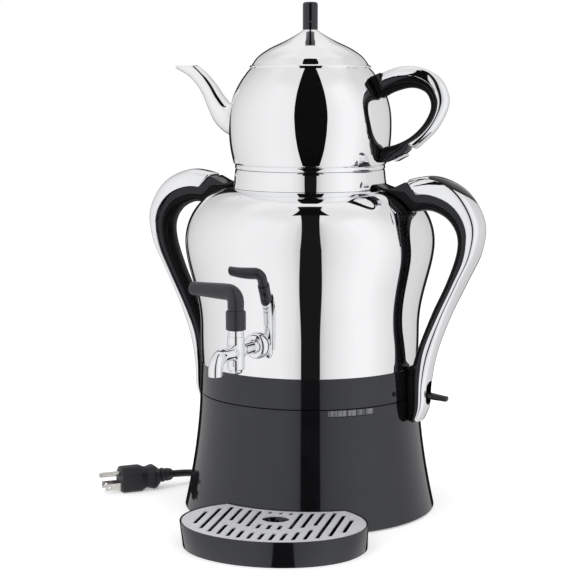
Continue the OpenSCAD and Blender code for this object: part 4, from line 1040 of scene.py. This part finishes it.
class SAMOVAR_OT_base(bpy.types.Operator):
    """Make the base housing, the band above it and the screws below"""
    bl_idname = "samovar.base"
    bl_label = "Base and band"

    def execute(self, context):
        finish(housing_solid(), "black gloss", "base_housing")
        deck = rounded([(70, 95.9), (101.6, 95.9), (101.6, 98.4), (70, 98.4)], 0.4, 2)
        boss = [(1.9, 12.5), (5.0, 12.5), (5.0, 42.0), (4.5, 42.5), (1.9, 42.5)]
        pillars = [turned("boss", boss, 32, True, 40.0, spot) for spot in screw_spots(4)]
        inner = join("base_inner_frame", [turned("base_deck", deck, 128)] + pillars, 40.0)
        finish(inner, "grip gloss")
        wall = [(102.85, 110.6), (101.6, 136.9), (101.2, 137.4), (99.9, 137.4), (99.9, 141.4),
                (97.9, 141.4), (97.9, 130.4), (94.4, 130.4), (94.4, 127.9), (99.7, 126.4),
                (99.7, 110.4), (102.5, 110.4)]
        ring = turned("band_wall", rounded(wall, [0, 0.3, 0.2, 0, 0.2, 0.2, 0, 0, 0, 0, 0, 0.1], 3), 192)
        lip = turned("band_lip", [(96.9, 106.9), (99.6, 106.9), (99.6, 116.0), (96.9, 116.0)], 192)
        finish(join("band_skin", [ring, lip], 36.0), "black gloss", "band_ring")
        head = [(0, 7.7), (0.7, 7.7), (1.1, 6.5), (1.8, 6.5), (3.2, 6.7), (3.6, 7.3), (3.6, 8.9),
                (1.9, 8.9), (1.9, 23.9), (0, 23.9)]
        heads = [turned("screw", head, 24, False, 36.0, spot)
                 for spot in screw_spots(context.scene.samovar_details.screws)]
        finish(join("base_screw_set", heads, 36.0), "satin steel", "base_screws")
        repaint("black gloss", "base_plate")
        repaint("foot rubber", "foot_ring")
        return {"FINISHED"}


class SAMOVAR_OT_window(bpy.types.Operator):
    """Make the indicator window with its panes"""
    bl_idname = "samovar.window"
    bl_label = "Indicator window"

    def execute(self, context):
        d = context.scene.samovar_details
        section = [(99.95, 103.6), (102.55, 103.6), (102.7, 103.8), (102.7, 109.3), (102.5, 109.5),
                   (99.95, 109.5)]
        turns = [math.radians(WINDOW_FIRST + WINDOW_SPAN * k / 28) for k in range(29)]
        rings = [[(r * math.cos(a), r * math.sin(a), z) for r, z in section] for a in turns]
        finish(lofted("window_frame", rings, angle=36.0), "black gloss", "indicator_window")
        step = math.radians(WINDOW_SPAN / d.panes)
        radius = 0.1026
        panes = run_tree(fan_tree(), "window_panes", "smoked window", placed(0, 0, 0.10655),
                         {"Count": d.panes, "Radius": radius, "Step": step, "Height": 0.0052,
                          "First": math.radians(WINDOW_FIRST) + step / 2,
                          "Width": radius * step - 0.0007, "Depth": 0.0009})
        modify(panes, "BEVEL", width=0.0002, segments=2)
        finish(baked(panes, "window_pane_set"), "smoked window")
        repaint("amber lamp", "indicator_lamps")
        repaint("board lacquer", "lamp_board")
        return {"FINISHED"}


# ---------------------------------------------------------------- boiler

class SAMOVAR_OT_boiler(bpy.types.Operator):
    """Make the boiler's mirror shell and collar, and finish what is inside"""
    bl_idname = "samovar.boiler"
    bl_label = "Boiler"

    def execute(self, context):
        heights = [BAND_TOP + 162 * (1 - (1 - i / 96) ** 1.7) for i in range(97)]
        outer = [(shell_radius(z), z) for z in heights]
        shell = turned("boiler_mirror_shell", outer + beside(outer, SHEET)[::-1], 224, True, 40.0)
        finish(shell, "mirror steel", "boiler_shell")
        collar = [(65.2, 294.7), (67.7, 294.7), (69.3, 295.7), (69.3, 299.5), (71.4, 299.55),
                  (71.5, 299.9), (70.9, 302.4), (70.5, 305.0), (69.95, 309.3), (69.5, 313.6),
                  (69.3, 315.6), (68.9, 316.5), (68.0, 316.8), (64.2, 316.8), (64.2, 313.2), (65.2, 313.2)]
        radii = [0, 0, 0, 0, 0.1, 0.6, 4, 4, 4, 3, 1, 0.5, 0.4, 0.3, 0, 0]
        neck = turned("boiler_neck_collar", rounded(collar, radii, 4), 192, True, 40.0)
        finish(neck, "mirror steel", "boiler_collar")
        repaint("satin steel", "water_tank", "water_lid", "shell_floor", "tank_studs",
                "handle_right_screws", "handle_left_screws", "teapot_handle_screws",
                "spout_strainer", "tap_nut", "switch_pin", "lid_knob_screw", "heating_element")
        repaint("heater aluminium", "heater_plate", "thermostat", "thermal_cutout")
        repaint("ceramic", "terminal_block")
        repaint("wire sleeve", "internal_wires")
        return {"FINISHED"}


# ---------------------------------------------------------------- side handles

def rung(low, high, points, side=1):
    """A section of a handle between two points of its plane, from points of (share, sideways)."""
    return [(side * (low[0] + (high[0] - low[0]) * a), b, low[1] + (high[1] - low[1]) * a)
            for a, b in points]


def seated(high, low, top):
    """The low and high end of a cover's section, just off its grip and up to a share of it."""
    lift = 0.12 / max(1.0, math.dist(high, low))
    low = (low[0] + (high[0] - low[0]) * lift, low[1] + (high[1] - low[1]) * lift)
    return low, (low[0] + (high[0] - low[0]) * top, low[1] + (high[1] - low[1]) * top)


def grip_section(width, fullness, groove, length):
    """The grip's section: round to the fingers, then a fine line and flat flanks to the cover."""
    half = width / 2
    lip = min(0.8, 0.12 * length) / length
    side = []
    for k in range(10):
        a = 0.5 * math.pi * k / 9
        side.append((0.5 * (1 - math.cos(a) ** (2 / fullness)),
                     (half - groove) * math.sin(a) ** (2 / fullness)))
    side += [(0.5 + 0.25 * lip, half - 1.4 * groove), (0.5 + 0.9 * lip, half - 0.3 * groove),
             (0.5 + 1.6 * lip, half), (1 - 1.4 * lip, half), (1 - 0.35 * lip, half - 0.3),
             (1.0, half - 0.9)]
    return side + [(a, -b) for a, b in side[:0:-1]]


def cover_section(width, drop, fullness):
    """The cover's section: flanks, tight shoulders and a crowned face; flat on the grip."""
    half = width / 2
    points = [(0.0, -half + 0.3), (0.03, -half)]
    for k in range(1, 24):
        a = math.pi * (k / 24 - 0.5)
        side = math.copysign(abs(math.sin(a)) ** (2 / fullness), a)
        points.append((drop + (1 - drop) * math.cos(a) ** (2 / fullness), half * side))
    return points + [(0.03, half), (0.0, half - 0.3)]


def bevelled_section(width):
    """The teapot cover's section: two wide slanting flanks and a narrow crown."""
    half = width / 2
    side = [(0.0, half - 0.25), (0.04, half), (0.14, 0.985 * half), (0.3, 0.91 * half),
            (0.48, 0.8 * half), (0.66, 0.66 * half), (0.82, 0.49 * half), (0.93, 0.31 * half),
            (0.985, 0.14 * half)]
    return [(a, -b) for a, b in side] + [(1.0, 0.0)] + side[::-1]


def arm_share(z):
    """0 below the narrow foot of a side handle and 1 at its arch."""
    return ease(((z - ARM_LOW) / ARM_TALL - 0.28) / 0.44)


def arm_width(high, low, foot, top):
    """A side handle's width halfway between two points, and how far up its arch it is."""
    share = arm_share(0.5 * (high[1] + low[1]))
    return (foot + (top - foot) * share) / MM, share


def grip_skin(name, pairs, widths, fullness, groove, side=1):
    """A grip over pairs of points, with a duller finish on the half that the fingers close on."""
    rings = []
    for (high, low), width, full in zip(pairs, widths, fullness):
        section = grip_section(width, full, groove, max(1.0, math.dist(high, low)))
        rings.append(rung(low, high, section, side))
    n = len(rings[0])
    marks = [1 if k < 10 or k >= n - 10 else 0 for k in range(n)]
    grip = lofted(name, rings, angle=42.0, marks=marks)
    for paint in ("grip gloss", "grip inner face"):
        grip.data.materials.append(bpy.data.materials[paint])
    return grip


def arm_grip(name, s, side):
    """One black grip, from its block against the collar round the arch to its foot."""
    pairs = [
        ((72.0, 305.0), (71.9, 304.2)), ((76.0, 303.4), (75.2, 299.9)), ((81.0, 301.8), (80.1, 298.7)),
        ((86.0, 301.4), (85.4, 297.1)), ((91.0, 303.2), (90.6, 294.7)), ((96.0, 305.6), (95.3, 292.0)),
        ((100.4, 307.6), (99.0, 288.9)), ((101.6, 307.3), (99.9, 288.0)),
        ((104.6, 304.4), (102.6, 285.8)), ((109.0, 300.4), (107.0, 281.6)),
    ]
    for t in (k / 8 for k in range(5, 81)):
        if t <= 6:
            low = on_line(ARM_INNER, between([(0.5, 0), (1, 0.5), (2, 2), (6, 6)], t))
        elif t <= 7.6:
            low = on_line(ARM_INNER, between([(6, 6), (7, 7.5), (7.6, 9)], t))
        else:
            z = arm_height(between([(7.6, 0.224), (8, 0.188), (9, 0.065), (10, 0.012)], t))
            low = (outside_radius(z) + CLEAR, z)
        pairs.append((on_line(ARM_BORDER, t), low))
    foot = outside_radius(ARM_LOW)
    pairs.append(((foot + 7.4, 90.4), (foot + CLEAR, 91.6)))
    pairs.append(((foot + 5.2, 89.5), (foot + 1.6, 90.3)))
    widths = [arm_width(high, low, s.grip_foot, s.grip_top)[0] for high, low in pairs]
    widths[0] *= 0.9
    widths[-1] *= 0.82
    fullness = [2.1 + 5.5 * max(1 - ease((i - 6) / 8), ease((i - 64) / 8)) for i in range(len(pairs))]
    return grip_skin(name, pairs, widths, fullness, s.groove / MM, side)


def arm_cover(name, s, side):
    """One bright cover over the outside of a side grip."""
    rings = []
    for t in [0.13, 0.15, 0.19, 0.25] + [k / 8 for k in range(3, 80)] + [9.88, 9.95, 10.0]:
        high = on_line(ARM_OUTER, t)
        low = on_line(ARM_BORDER, max(t, between([(0, 0.5), (0.13, 0.56), (1.4, 1.4)], t)))
        width, share = arm_width(high, low, s.cover_foot, s.cover_top)
        tip = blunt(min(1.0, (t - 0.13) / 0.12, (10 - t) / 0.12))
        section = cover_section(width * (0.9 + 0.1 * tip), 0.1, 2.15 + 0.7 * share)
        rings.append(rung(*seated(high, low, 0.86 + 0.14 * tip), section, side))
    return lofted(name, rings, angle=42.0)


def slot_cutter(name, x1, radius, height):
    """An upright slot with round ends, along X."""
    half = height / 2 - radius
    outline = []
    for k in range(48):
        a = math.pi * k / 24
        lift = half if math.sin(a) >= 0 and k <= 24 else -half
        outline.append((radius * math.cos(a), 116.9 + lift + radius * math.sin(a)))
    return lofted(name, [[(x, y, z) for y, z in outline] for x in (x1, 150)])


def switch_arm():
    """The switch's lever, flat and slightly drooping, with a round end."""
    line = smooth([SWITCH, (118, 0, 114.5), (128, 0, 113.65), (136.5, 0, 112.9), (139.6, 0, 112.65)], 6)
    rings = []
    for i, p in enumerate(line):
        t = i / (len(line) - 1)
        close = math.sqrt(max(0.0, 1 - max(0.0, (t - 0.9) / 0.1) ** 2))
        tall = (3.5 - 1.15 * ease(t / 0.8)) * (0.15 + 0.85 * close)
        wide = 3.9 * (0.45 + 0.55 * close)
        ring = []
        for a in around(24):
            y = wide * math.copysign(abs(math.cos(a)) ** 0.6, math.cos(a))
            z = tall * math.copysign(abs(math.sin(a)) ** 0.8, math.sin(a))
            ring.append((p[0] + 0.087 * z, y, p[2] + z))
        rings.append(ring)
    return lofted("switch_arm", rings, angle=45.0)


class SAMOVAR_OT_handles(bpy.types.Operator):
    """Make the two side handles with their bright covers, and the switch"""
    bl_idname = "samovar.handles"
    bl_label = "Side handles"

    def execute(self, context):
        s = context.scene.samovar_handles
        pocket = slot_cutter("pocket", 104.6, 6.6, 24.2)
        grip = cut(arm_grip("right_grip_raw", s, 1), pocket, "side_grip_right", 42.0)
        finish(grip, "grip gloss", "handle_right_grip")
        finish(arm_grip("side_grip_left", s, -1), "grip gloss", "handle_left_grip")
        slot = slot_cutter("slot", 103, 5.8, 22)
        cover = cut(arm_cover("right_cover_raw", s, 1), slot, "side_cover_right", 42.0)
        finish(cover, "bright trim", "handle_right_cover")
        finish(arm_cover("side_cover_left", s, -1), "bright trim", "handle_left_cover")
        repaint("pin hollow", "switch_body")
        hub = turned("switch_hub", rounded([(1.1, -4), (4, -4), (4, 4), (1.1, 4)], 0.4, 3), 40, True,
                     40.0, placed(*SWITCH, 90, "X"))
        rocker = join("switch_rocker", [switch_arm(), hub], 40.0)
        finish(rocker, "grip gloss", "switch_lever", body="switch_lever")
        return {"FINISHED"}


# ---------------------------------------------------------------- tap

def cast_solid():
    """The tap's cast body, its barrel and spout run softly into one another."""
    barrel = FRONT @ placed(TAP_OUT, 0, TAP_UP, 90, "Y")
    pieces = [copy_of("tap_body", "tap_cast")]
    for start, end, is_front in ((6.2, 11.5, True), (-11.0, -6.2, False)):
        flare = [(4.6, start)]
        for t in (k / 6 for k in range(7)):
            near = t if is_front else 1 - t
            flare.append((6.15 + 1.15 * (1 - near) ** 2, start + (end - start) * t))
        pieces.append(turned("flare", flare + [(4.6, end)], 48, True, 40.0, barrel))
    cast = join("tap_joined", pieces)
    modify(cast, "REMESH", mode="VOXEL", voxel_size=0.00034)
    modify(cast, "SMOOTH", factor=0.5, iterations=9)
    return baked(cast, "tap_cast_body", 70.0)


def lever_solid(post):
    """The black lever: a sleeve over the tap's post and an arm that bends over to the side."""
    sleeve = [(4.4, 185.2), (8.0, 185.2), (8.5, 185.2), (8.7, 186.2), (8.7, 200.6), (8.45, 201.4),
              (7.7, 201.9), (6.9, 202.1), (4.4, 202.1)]
    cap = turned("lever_sleeve", rounded(sleeve, 0.3, 2), 80, True, 44.0, post)
    path = [(0, 0, 201.2), (0, 0, 204.5), (0, 0, 208.8)]
    for a in (0.5 * math.pi * k / 12 for k in range(1, 13)):
        path.append((8.5 - 8.5 * math.cos(a), 0, 208.8 + 8.5 * math.sin(a)))
    path += [(12 + 4 * k, 0, 217.3) for k in range(0, 9)] + [(47.4, 0, 217.3)]
    radii = [7.2 - 1.1 * ease((x - 8.5) / 39.5) if x > 8.5 else 7.2 - 0.25 * (z < 203)
             for x, y, z in path]
    path += [(48.9, 0, 217.3), (49.7, 0, 217.3), (50.0, 0, 217.3)]
    radii += [5.75, 4.9, 3.6]
    arm = lofted("lever_arm", round_tube(path, radii, 48, (0, 1, 0)), angle=40.0,
                 place=post @ placed(0, 0, 0, -100))
    return join("tap_lever_grip", [cap, arm], 40.0)


class SAMOVAR_OT_tap(bpy.types.Operator):
    """Make the tap with its cast body, dome flange and turning lever"""
    bl_idname = "samovar.tap"
    bl_label = "Tap"

    def execute(self, context):
        finish(cast_solid(), "bright trim", "tap_body")
        dome = [(6.25, 102.6), (11.6, 102.6), (12.0, 103.0)]
        dome += [(5 + 7 * math.cos(math.radians(a)), 103.5 + 4.9 * math.sin(math.radians(a)))
                 for a in range(0, 76, 6)]
        dome += [(6.6, 108.5), (6.25, 108.2)]
        flange = turned("tap_dome_flange", dome, 96, True, 40.0, FRONT @ placed(0, 0, TAP_UP, 90, "Y"))
        finish(flange, "bright trim", "tap_flange")
        post = FRONT @ placed(TAP_OUT, 0, 0)
        bonnet = [(4.46, 179.4), (6.6, 179.4), (7.0, 179.8), (7.0, 181.7), (6.6, 182.0), (6.6, 182.5),
                  (6.9, 182.8), (6.9, 184.6), (6.5, 185.0), (4.46, 185.0)]
        finish(turned("tap_neck_ring", bonnet, 72, True, 36.0, post), "bright trim", "tap_bonnet")
        nut = [(0, 146.4), (2.4, 146.4), (3.0, 146.7), (4.8, 147.6), (5.4, 148.4), (5.9, 150.3),
               (5.6, 150.65), (0, 150.65)]
        finish(turned("tap_end_nut", nut, 48, False, 36.0, post), "bright trim", "tap_base_nut",
               body="tap_lever")
        finish(lever_solid(post), "lever satin", "tap_grip", body="tap_lever")
        repaint("turned brass", "tap_plug")
        repaint("foot rubber", "tap_washers")
        return {"FINISHED"}


# ---------------------------------------------------------------- drip tray

class SAMOVAR_OT_tray(bpy.types.Operator):
    """Make the drip tray and finish its slotted grille"""
    bl_idname = "samovar.tray"
    bl_label = "Drip tray"

    def execute(self, context):
        tray = eased("drip_tray", "drip_tray_moulded", 0.6, 3, 40.0)
        low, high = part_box("drip_tray")
        centre = (low + high) / 2
        for vertex in tray.data.vertices:
            drop = 1 - min(1.0, max(0.0, vertex.co.z / 0.0225))
            way = Vector((vertex.co.x - centre.x, vertex.co.y - centre.y, 0.0))
            front = ease((centre.y + 0.045 - vertex.co.y) / 0.04)
            if way.length > 0.02:
                vertex.co -= way.normalized() * front * (0.0016 * drop + 0.0048 * max(0.0, drop - 0.75))
        finish(tray, "black gloss", "drip_tray", body="drip_tray")
        repaint("grille satin", "drip_grille")
        return {"FINISHED"}


# ---------------------------------------------------------------- teapot

def spout_solid():
    """The hollow spout: a wide root on the pot, a swan neck and a level-cut lip."""
    stations = [(74, 361, 17.6), (81, 360.5, 14.6), (91, 365.5, 11.8), (99.5, 376.5, 9.7),
                (107, 388.5, 8.2), (116, 399, 7.2), (127, 407.5, 6.4), (141.3, 414, 5.7)]
    line = smooth(stations, 7)
    last = len(line) - 1
    level = 411.8
    skins = []
    for inset in (0.0, 0.9):
        skin = []
        for i, (x, z, size) in enumerate(line):
            ahead = Vector(line[min(i + 1, last)][:2]) - Vector(line[max(i - 1, 0)][:2])
            ahead.normalize()
            ring = []
            for a in around(56):
                r = size - inset
                q = [x - r * math.sin(a) * ahead.y, r * math.cos(a), z + r * math.sin(a) * ahead.x]
                if i == 0:
                    reach = pot_radius(q[2]) + 0.2
                    q[0] = math.sqrt(reach * reach - q[1] * q[1])
                if q[2] > level:
                    slip = (q[2] - level) / ahead.y
                    q = [q[0] - slip * ahead.x, q[1], level]
                ring.append((-q[0], q[1], q[2]))
            skin.append(ring)
        skins.append(skin)
    return lofted("teapot_swan_spout", skins[0] + skins[1][::-1], True, 50.0)


def pot_wall(f):
    """A point just off the teapot's wall, at a share of its height."""
    z = POT_LOW + POT_TALL * f
    return pot_radius(z) + CLEAR, z


def pot_grip(s):
    """The black grip of the teapot's handle."""
    top = pot_line((-2.2, 0.945), (0.6, 0.925), (1.2, 0.873)) + [on_line(POT_BORDER, 0.15)]
    pairs = list(zip(top, [pot_wall(f) for f in (0.9, 0.82, 0.76, 0.705)]))
    pairs += [(on_line(POT_BORDER, k / 8), on_line(POT_INNER, k / 8)) for k in range(2, 57)]
    end = pot_line((24.8, 0.205), (21.4, 0.172), (17.0, 0.15), (12.6, 0.125), (7.0, 0.1), (2.2, 0.081))
    pairs += zip(end, pot_line((7.5, 0.243), (3.0, 0.236)) + [pot_wall(f) for f in
                                                             (0.215, 0.165, 0.115, 0.077)])
    number = len(pairs)
    fullness = [2.1 + 5 * max(1 - ease(i / 5), ease((i - number + 7) / 4)) for i in range(number)]
    return grip_skin("teapot_grip", pairs, [s.pot_grip / MM] * number, fullness, 0.5 * s.groove / MM)


def pot_cover(s):
    """The bright cover of the teapot's handle."""
    rings = []
    for t in [0.0, 0.03, 0.08, 0.15] + [k / 8 for k in range(2, 54)] + [6.8, 6.9, 6.97, 7.0]:
        tip = blunt(min(1.0, t / 0.15, (7 - t) / 0.25))
        section = bevelled_section(s.pot_cover / MM * (0.84 + 0.16 * tip))
        ends = seated(on_line(POT_OUTER, t), on_line(POT_BORDER, t), 0.8 + 0.2 * tip)
        rings.append(rung(*ends, section))
    return lofted("teapot_handle_bright_cover", rings, angle=42.0)


def pot_solid():
    """The teapot's wall, floor and foot ring."""
    wall = [(pot_radius(z), z) for z in (321.0 + (409.0 - 321.0) * i / 80 for i in range(81))]
    foot = [(0, 318.5), (60.6, 318.5), (61.2, 318.0), (61.5, 316.1), (61.8, 315.8), (63.3, 315.8),
            (63.6, 316.1), (63.6, 317.0), (68.6, 317.0), (69.1, 317.15), (69.4, 317.6),
            (69.4, 320.1), (69.2, 320.5), (68.95, 320.7)]
    rim = [(53.9, 409.1), (52.2, 409.0), (52.2, 408.0)]
    floor = [(66.0, 321.2), (63.2, 319.6), (0, 319.5)]
    outline = foot + wall[1:] + rim + beside(wall, SHEET)[::-1][1:-1] + floor
    return turned("teapot_mirror_body", outline, 208, False, 40.0)


def lid_solid():
    """The domed lid with its rim and the collar that sits in the teapot's mouth."""
    dome = smooth([(53.9, 411.6), (47.9, 419.4), (37.3, 426.8), (22.2, 434.0), (9.9, 441.0),
                   (7.0, 443.6)], 9)
    under = [(max(r, 2.2), z) for r, z in beside(dome, 0.9) if r < 50.2]
    outline = [(55.3, 409.6), (55.6, 409.9), (55.6, 410.8), (55.2, 411.2), (54.4, 411.35)] + dome
    outline += [(2.2, 443.6), (2.2, 442.7)] + under[::-1]
    outline += [(50.7, 410.6), (50.7, 401.6), (51.6, 401.6), (51.6, 409.6)]
    return turned("teapot_dome_lid", outline, 192, True, 40.0)


class SAMOVAR_OT_teapot(bpy.types.Operator):
    """Make the teapot with its spout, handle, lid and knob"""
    bl_idname = "samovar.teapot"
    bl_label = "Teapot"

    def execute(self, context):
        s = context.scene.samovar_handles
        for piece, paint, name in ((pot_solid(), "mirror steel", "teapot_body"),
                                   (spout_solid(), "mirror steel", "teapot_spout"),
                                   (pot_grip(s), "grip gloss", "teapot_handle_grip"),
                                   (pot_cover(s), "bright trim", "teapot_handle_cover"),
                                   (eased("teapot_handle_end_cap", "teapot_grip_end_clip", 0.35, 2),
                                    "bright trim", "teapot_handle_end_cap")):
            finish(piece, paint, name, body="teapot")
        finish(lid_solid(), "mirror steel", "teapot_lid", body="teapot_lid")
        knob = [(1.8, 443.7), (6.5, 443.7), (6.8, 444.0), (6.9, 444.8), (6.9, 466.4), (6.55, 467.7),
                (5.6, 468.5), (4.2, 468.8), (0, 468.8)]
        bore = [(0, 456.6), (1.8, 456.6)]
        outline = bore + rounded(knob, [0, 0.2, 0.2, 0.3, 2, 1, 1, 1, 0], 3, False)
        finish(turned("lid_knob_turned", outline, 80, False, 44.0), "black gloss", "lid_knob",
               body="teapot_lid")
        return {"FINISHED"}


# ---------------------------------------------------------------- panel and run

OPERATORS = (SAMOVAR_OT_stage, SAMOVAR_OT_lead, SAMOVAR_OT_base, SAMOVAR_OT_window,
             SAMOVAR_OT_boiler, SAMOVAR_OT_handles, SAMOVAR_OT_tap, SAMOVAR_OT_tray,
             SAMOVAR_OT_teapot)
SETTINGS = (("samovar_stage", SamovarStageSettings), ("samovar_colours", SamovarColourSettings),
            ("samovar_handles", SamovarHandleSettings), ("samovar_lead", SamovarLeadSettings),
            ("samovar_details", SamovarDetailSettings))


class SAMOVAR_PT_build(bpy.types.Panel):
    """Lists the samovar's settings and steps"""
    bl_label = "Samovar"
    bl_idname = "SAMOVAR_PT_build"
    bl_space_type = "VIEW_3D"
    bl_region_type = "UI"
    bl_category = "Samovar"

    def draw(self, context):
        for name, group in SETTINGS:
            box = self.layout.box()
            for field in group.__annotations__:
                box.prop(getattr(context.scene, name), field)
        for operator in OPERATORS:
            self.layout.operator(operator.bl_idname)


def register():
    """Registers the settings, operators and panel."""
    for name, group in SETTINGS:
        bpy.utils.register_class(group)
        setattr(bpy.types.Scene, name, PointerProperty(type=group))
    for item in OPERATORS + (SAMOVAR_PT_build,):
        bpy.utils.register_class(item)


def unregister():
    """Takes them away again."""
    for item in (SAMOVAR_PT_build,) + OPERATORS[::-1]:
        bpy.utils.unregister_class(item)
    for name, group in SETTINGS[::-1]:
        delattr(bpy.types.Scene, name)
        bpy.utils.unregister_class(group)


def main():
    register()
    bpy.ops.samovar.stage()
    bpy.ops.samovar.lead()
    bpy.ops.samovar.base()
    bpy.ops.samovar.window()
    bpy.ops.samovar.boiler()
    bpy.ops.samovar.handles()
    bpy.ops.samovar.tap()
    bpy.ops.samovar.tray()
    bpy.ops.samovar.teapot()


if __name__ == "__main__":
    main()
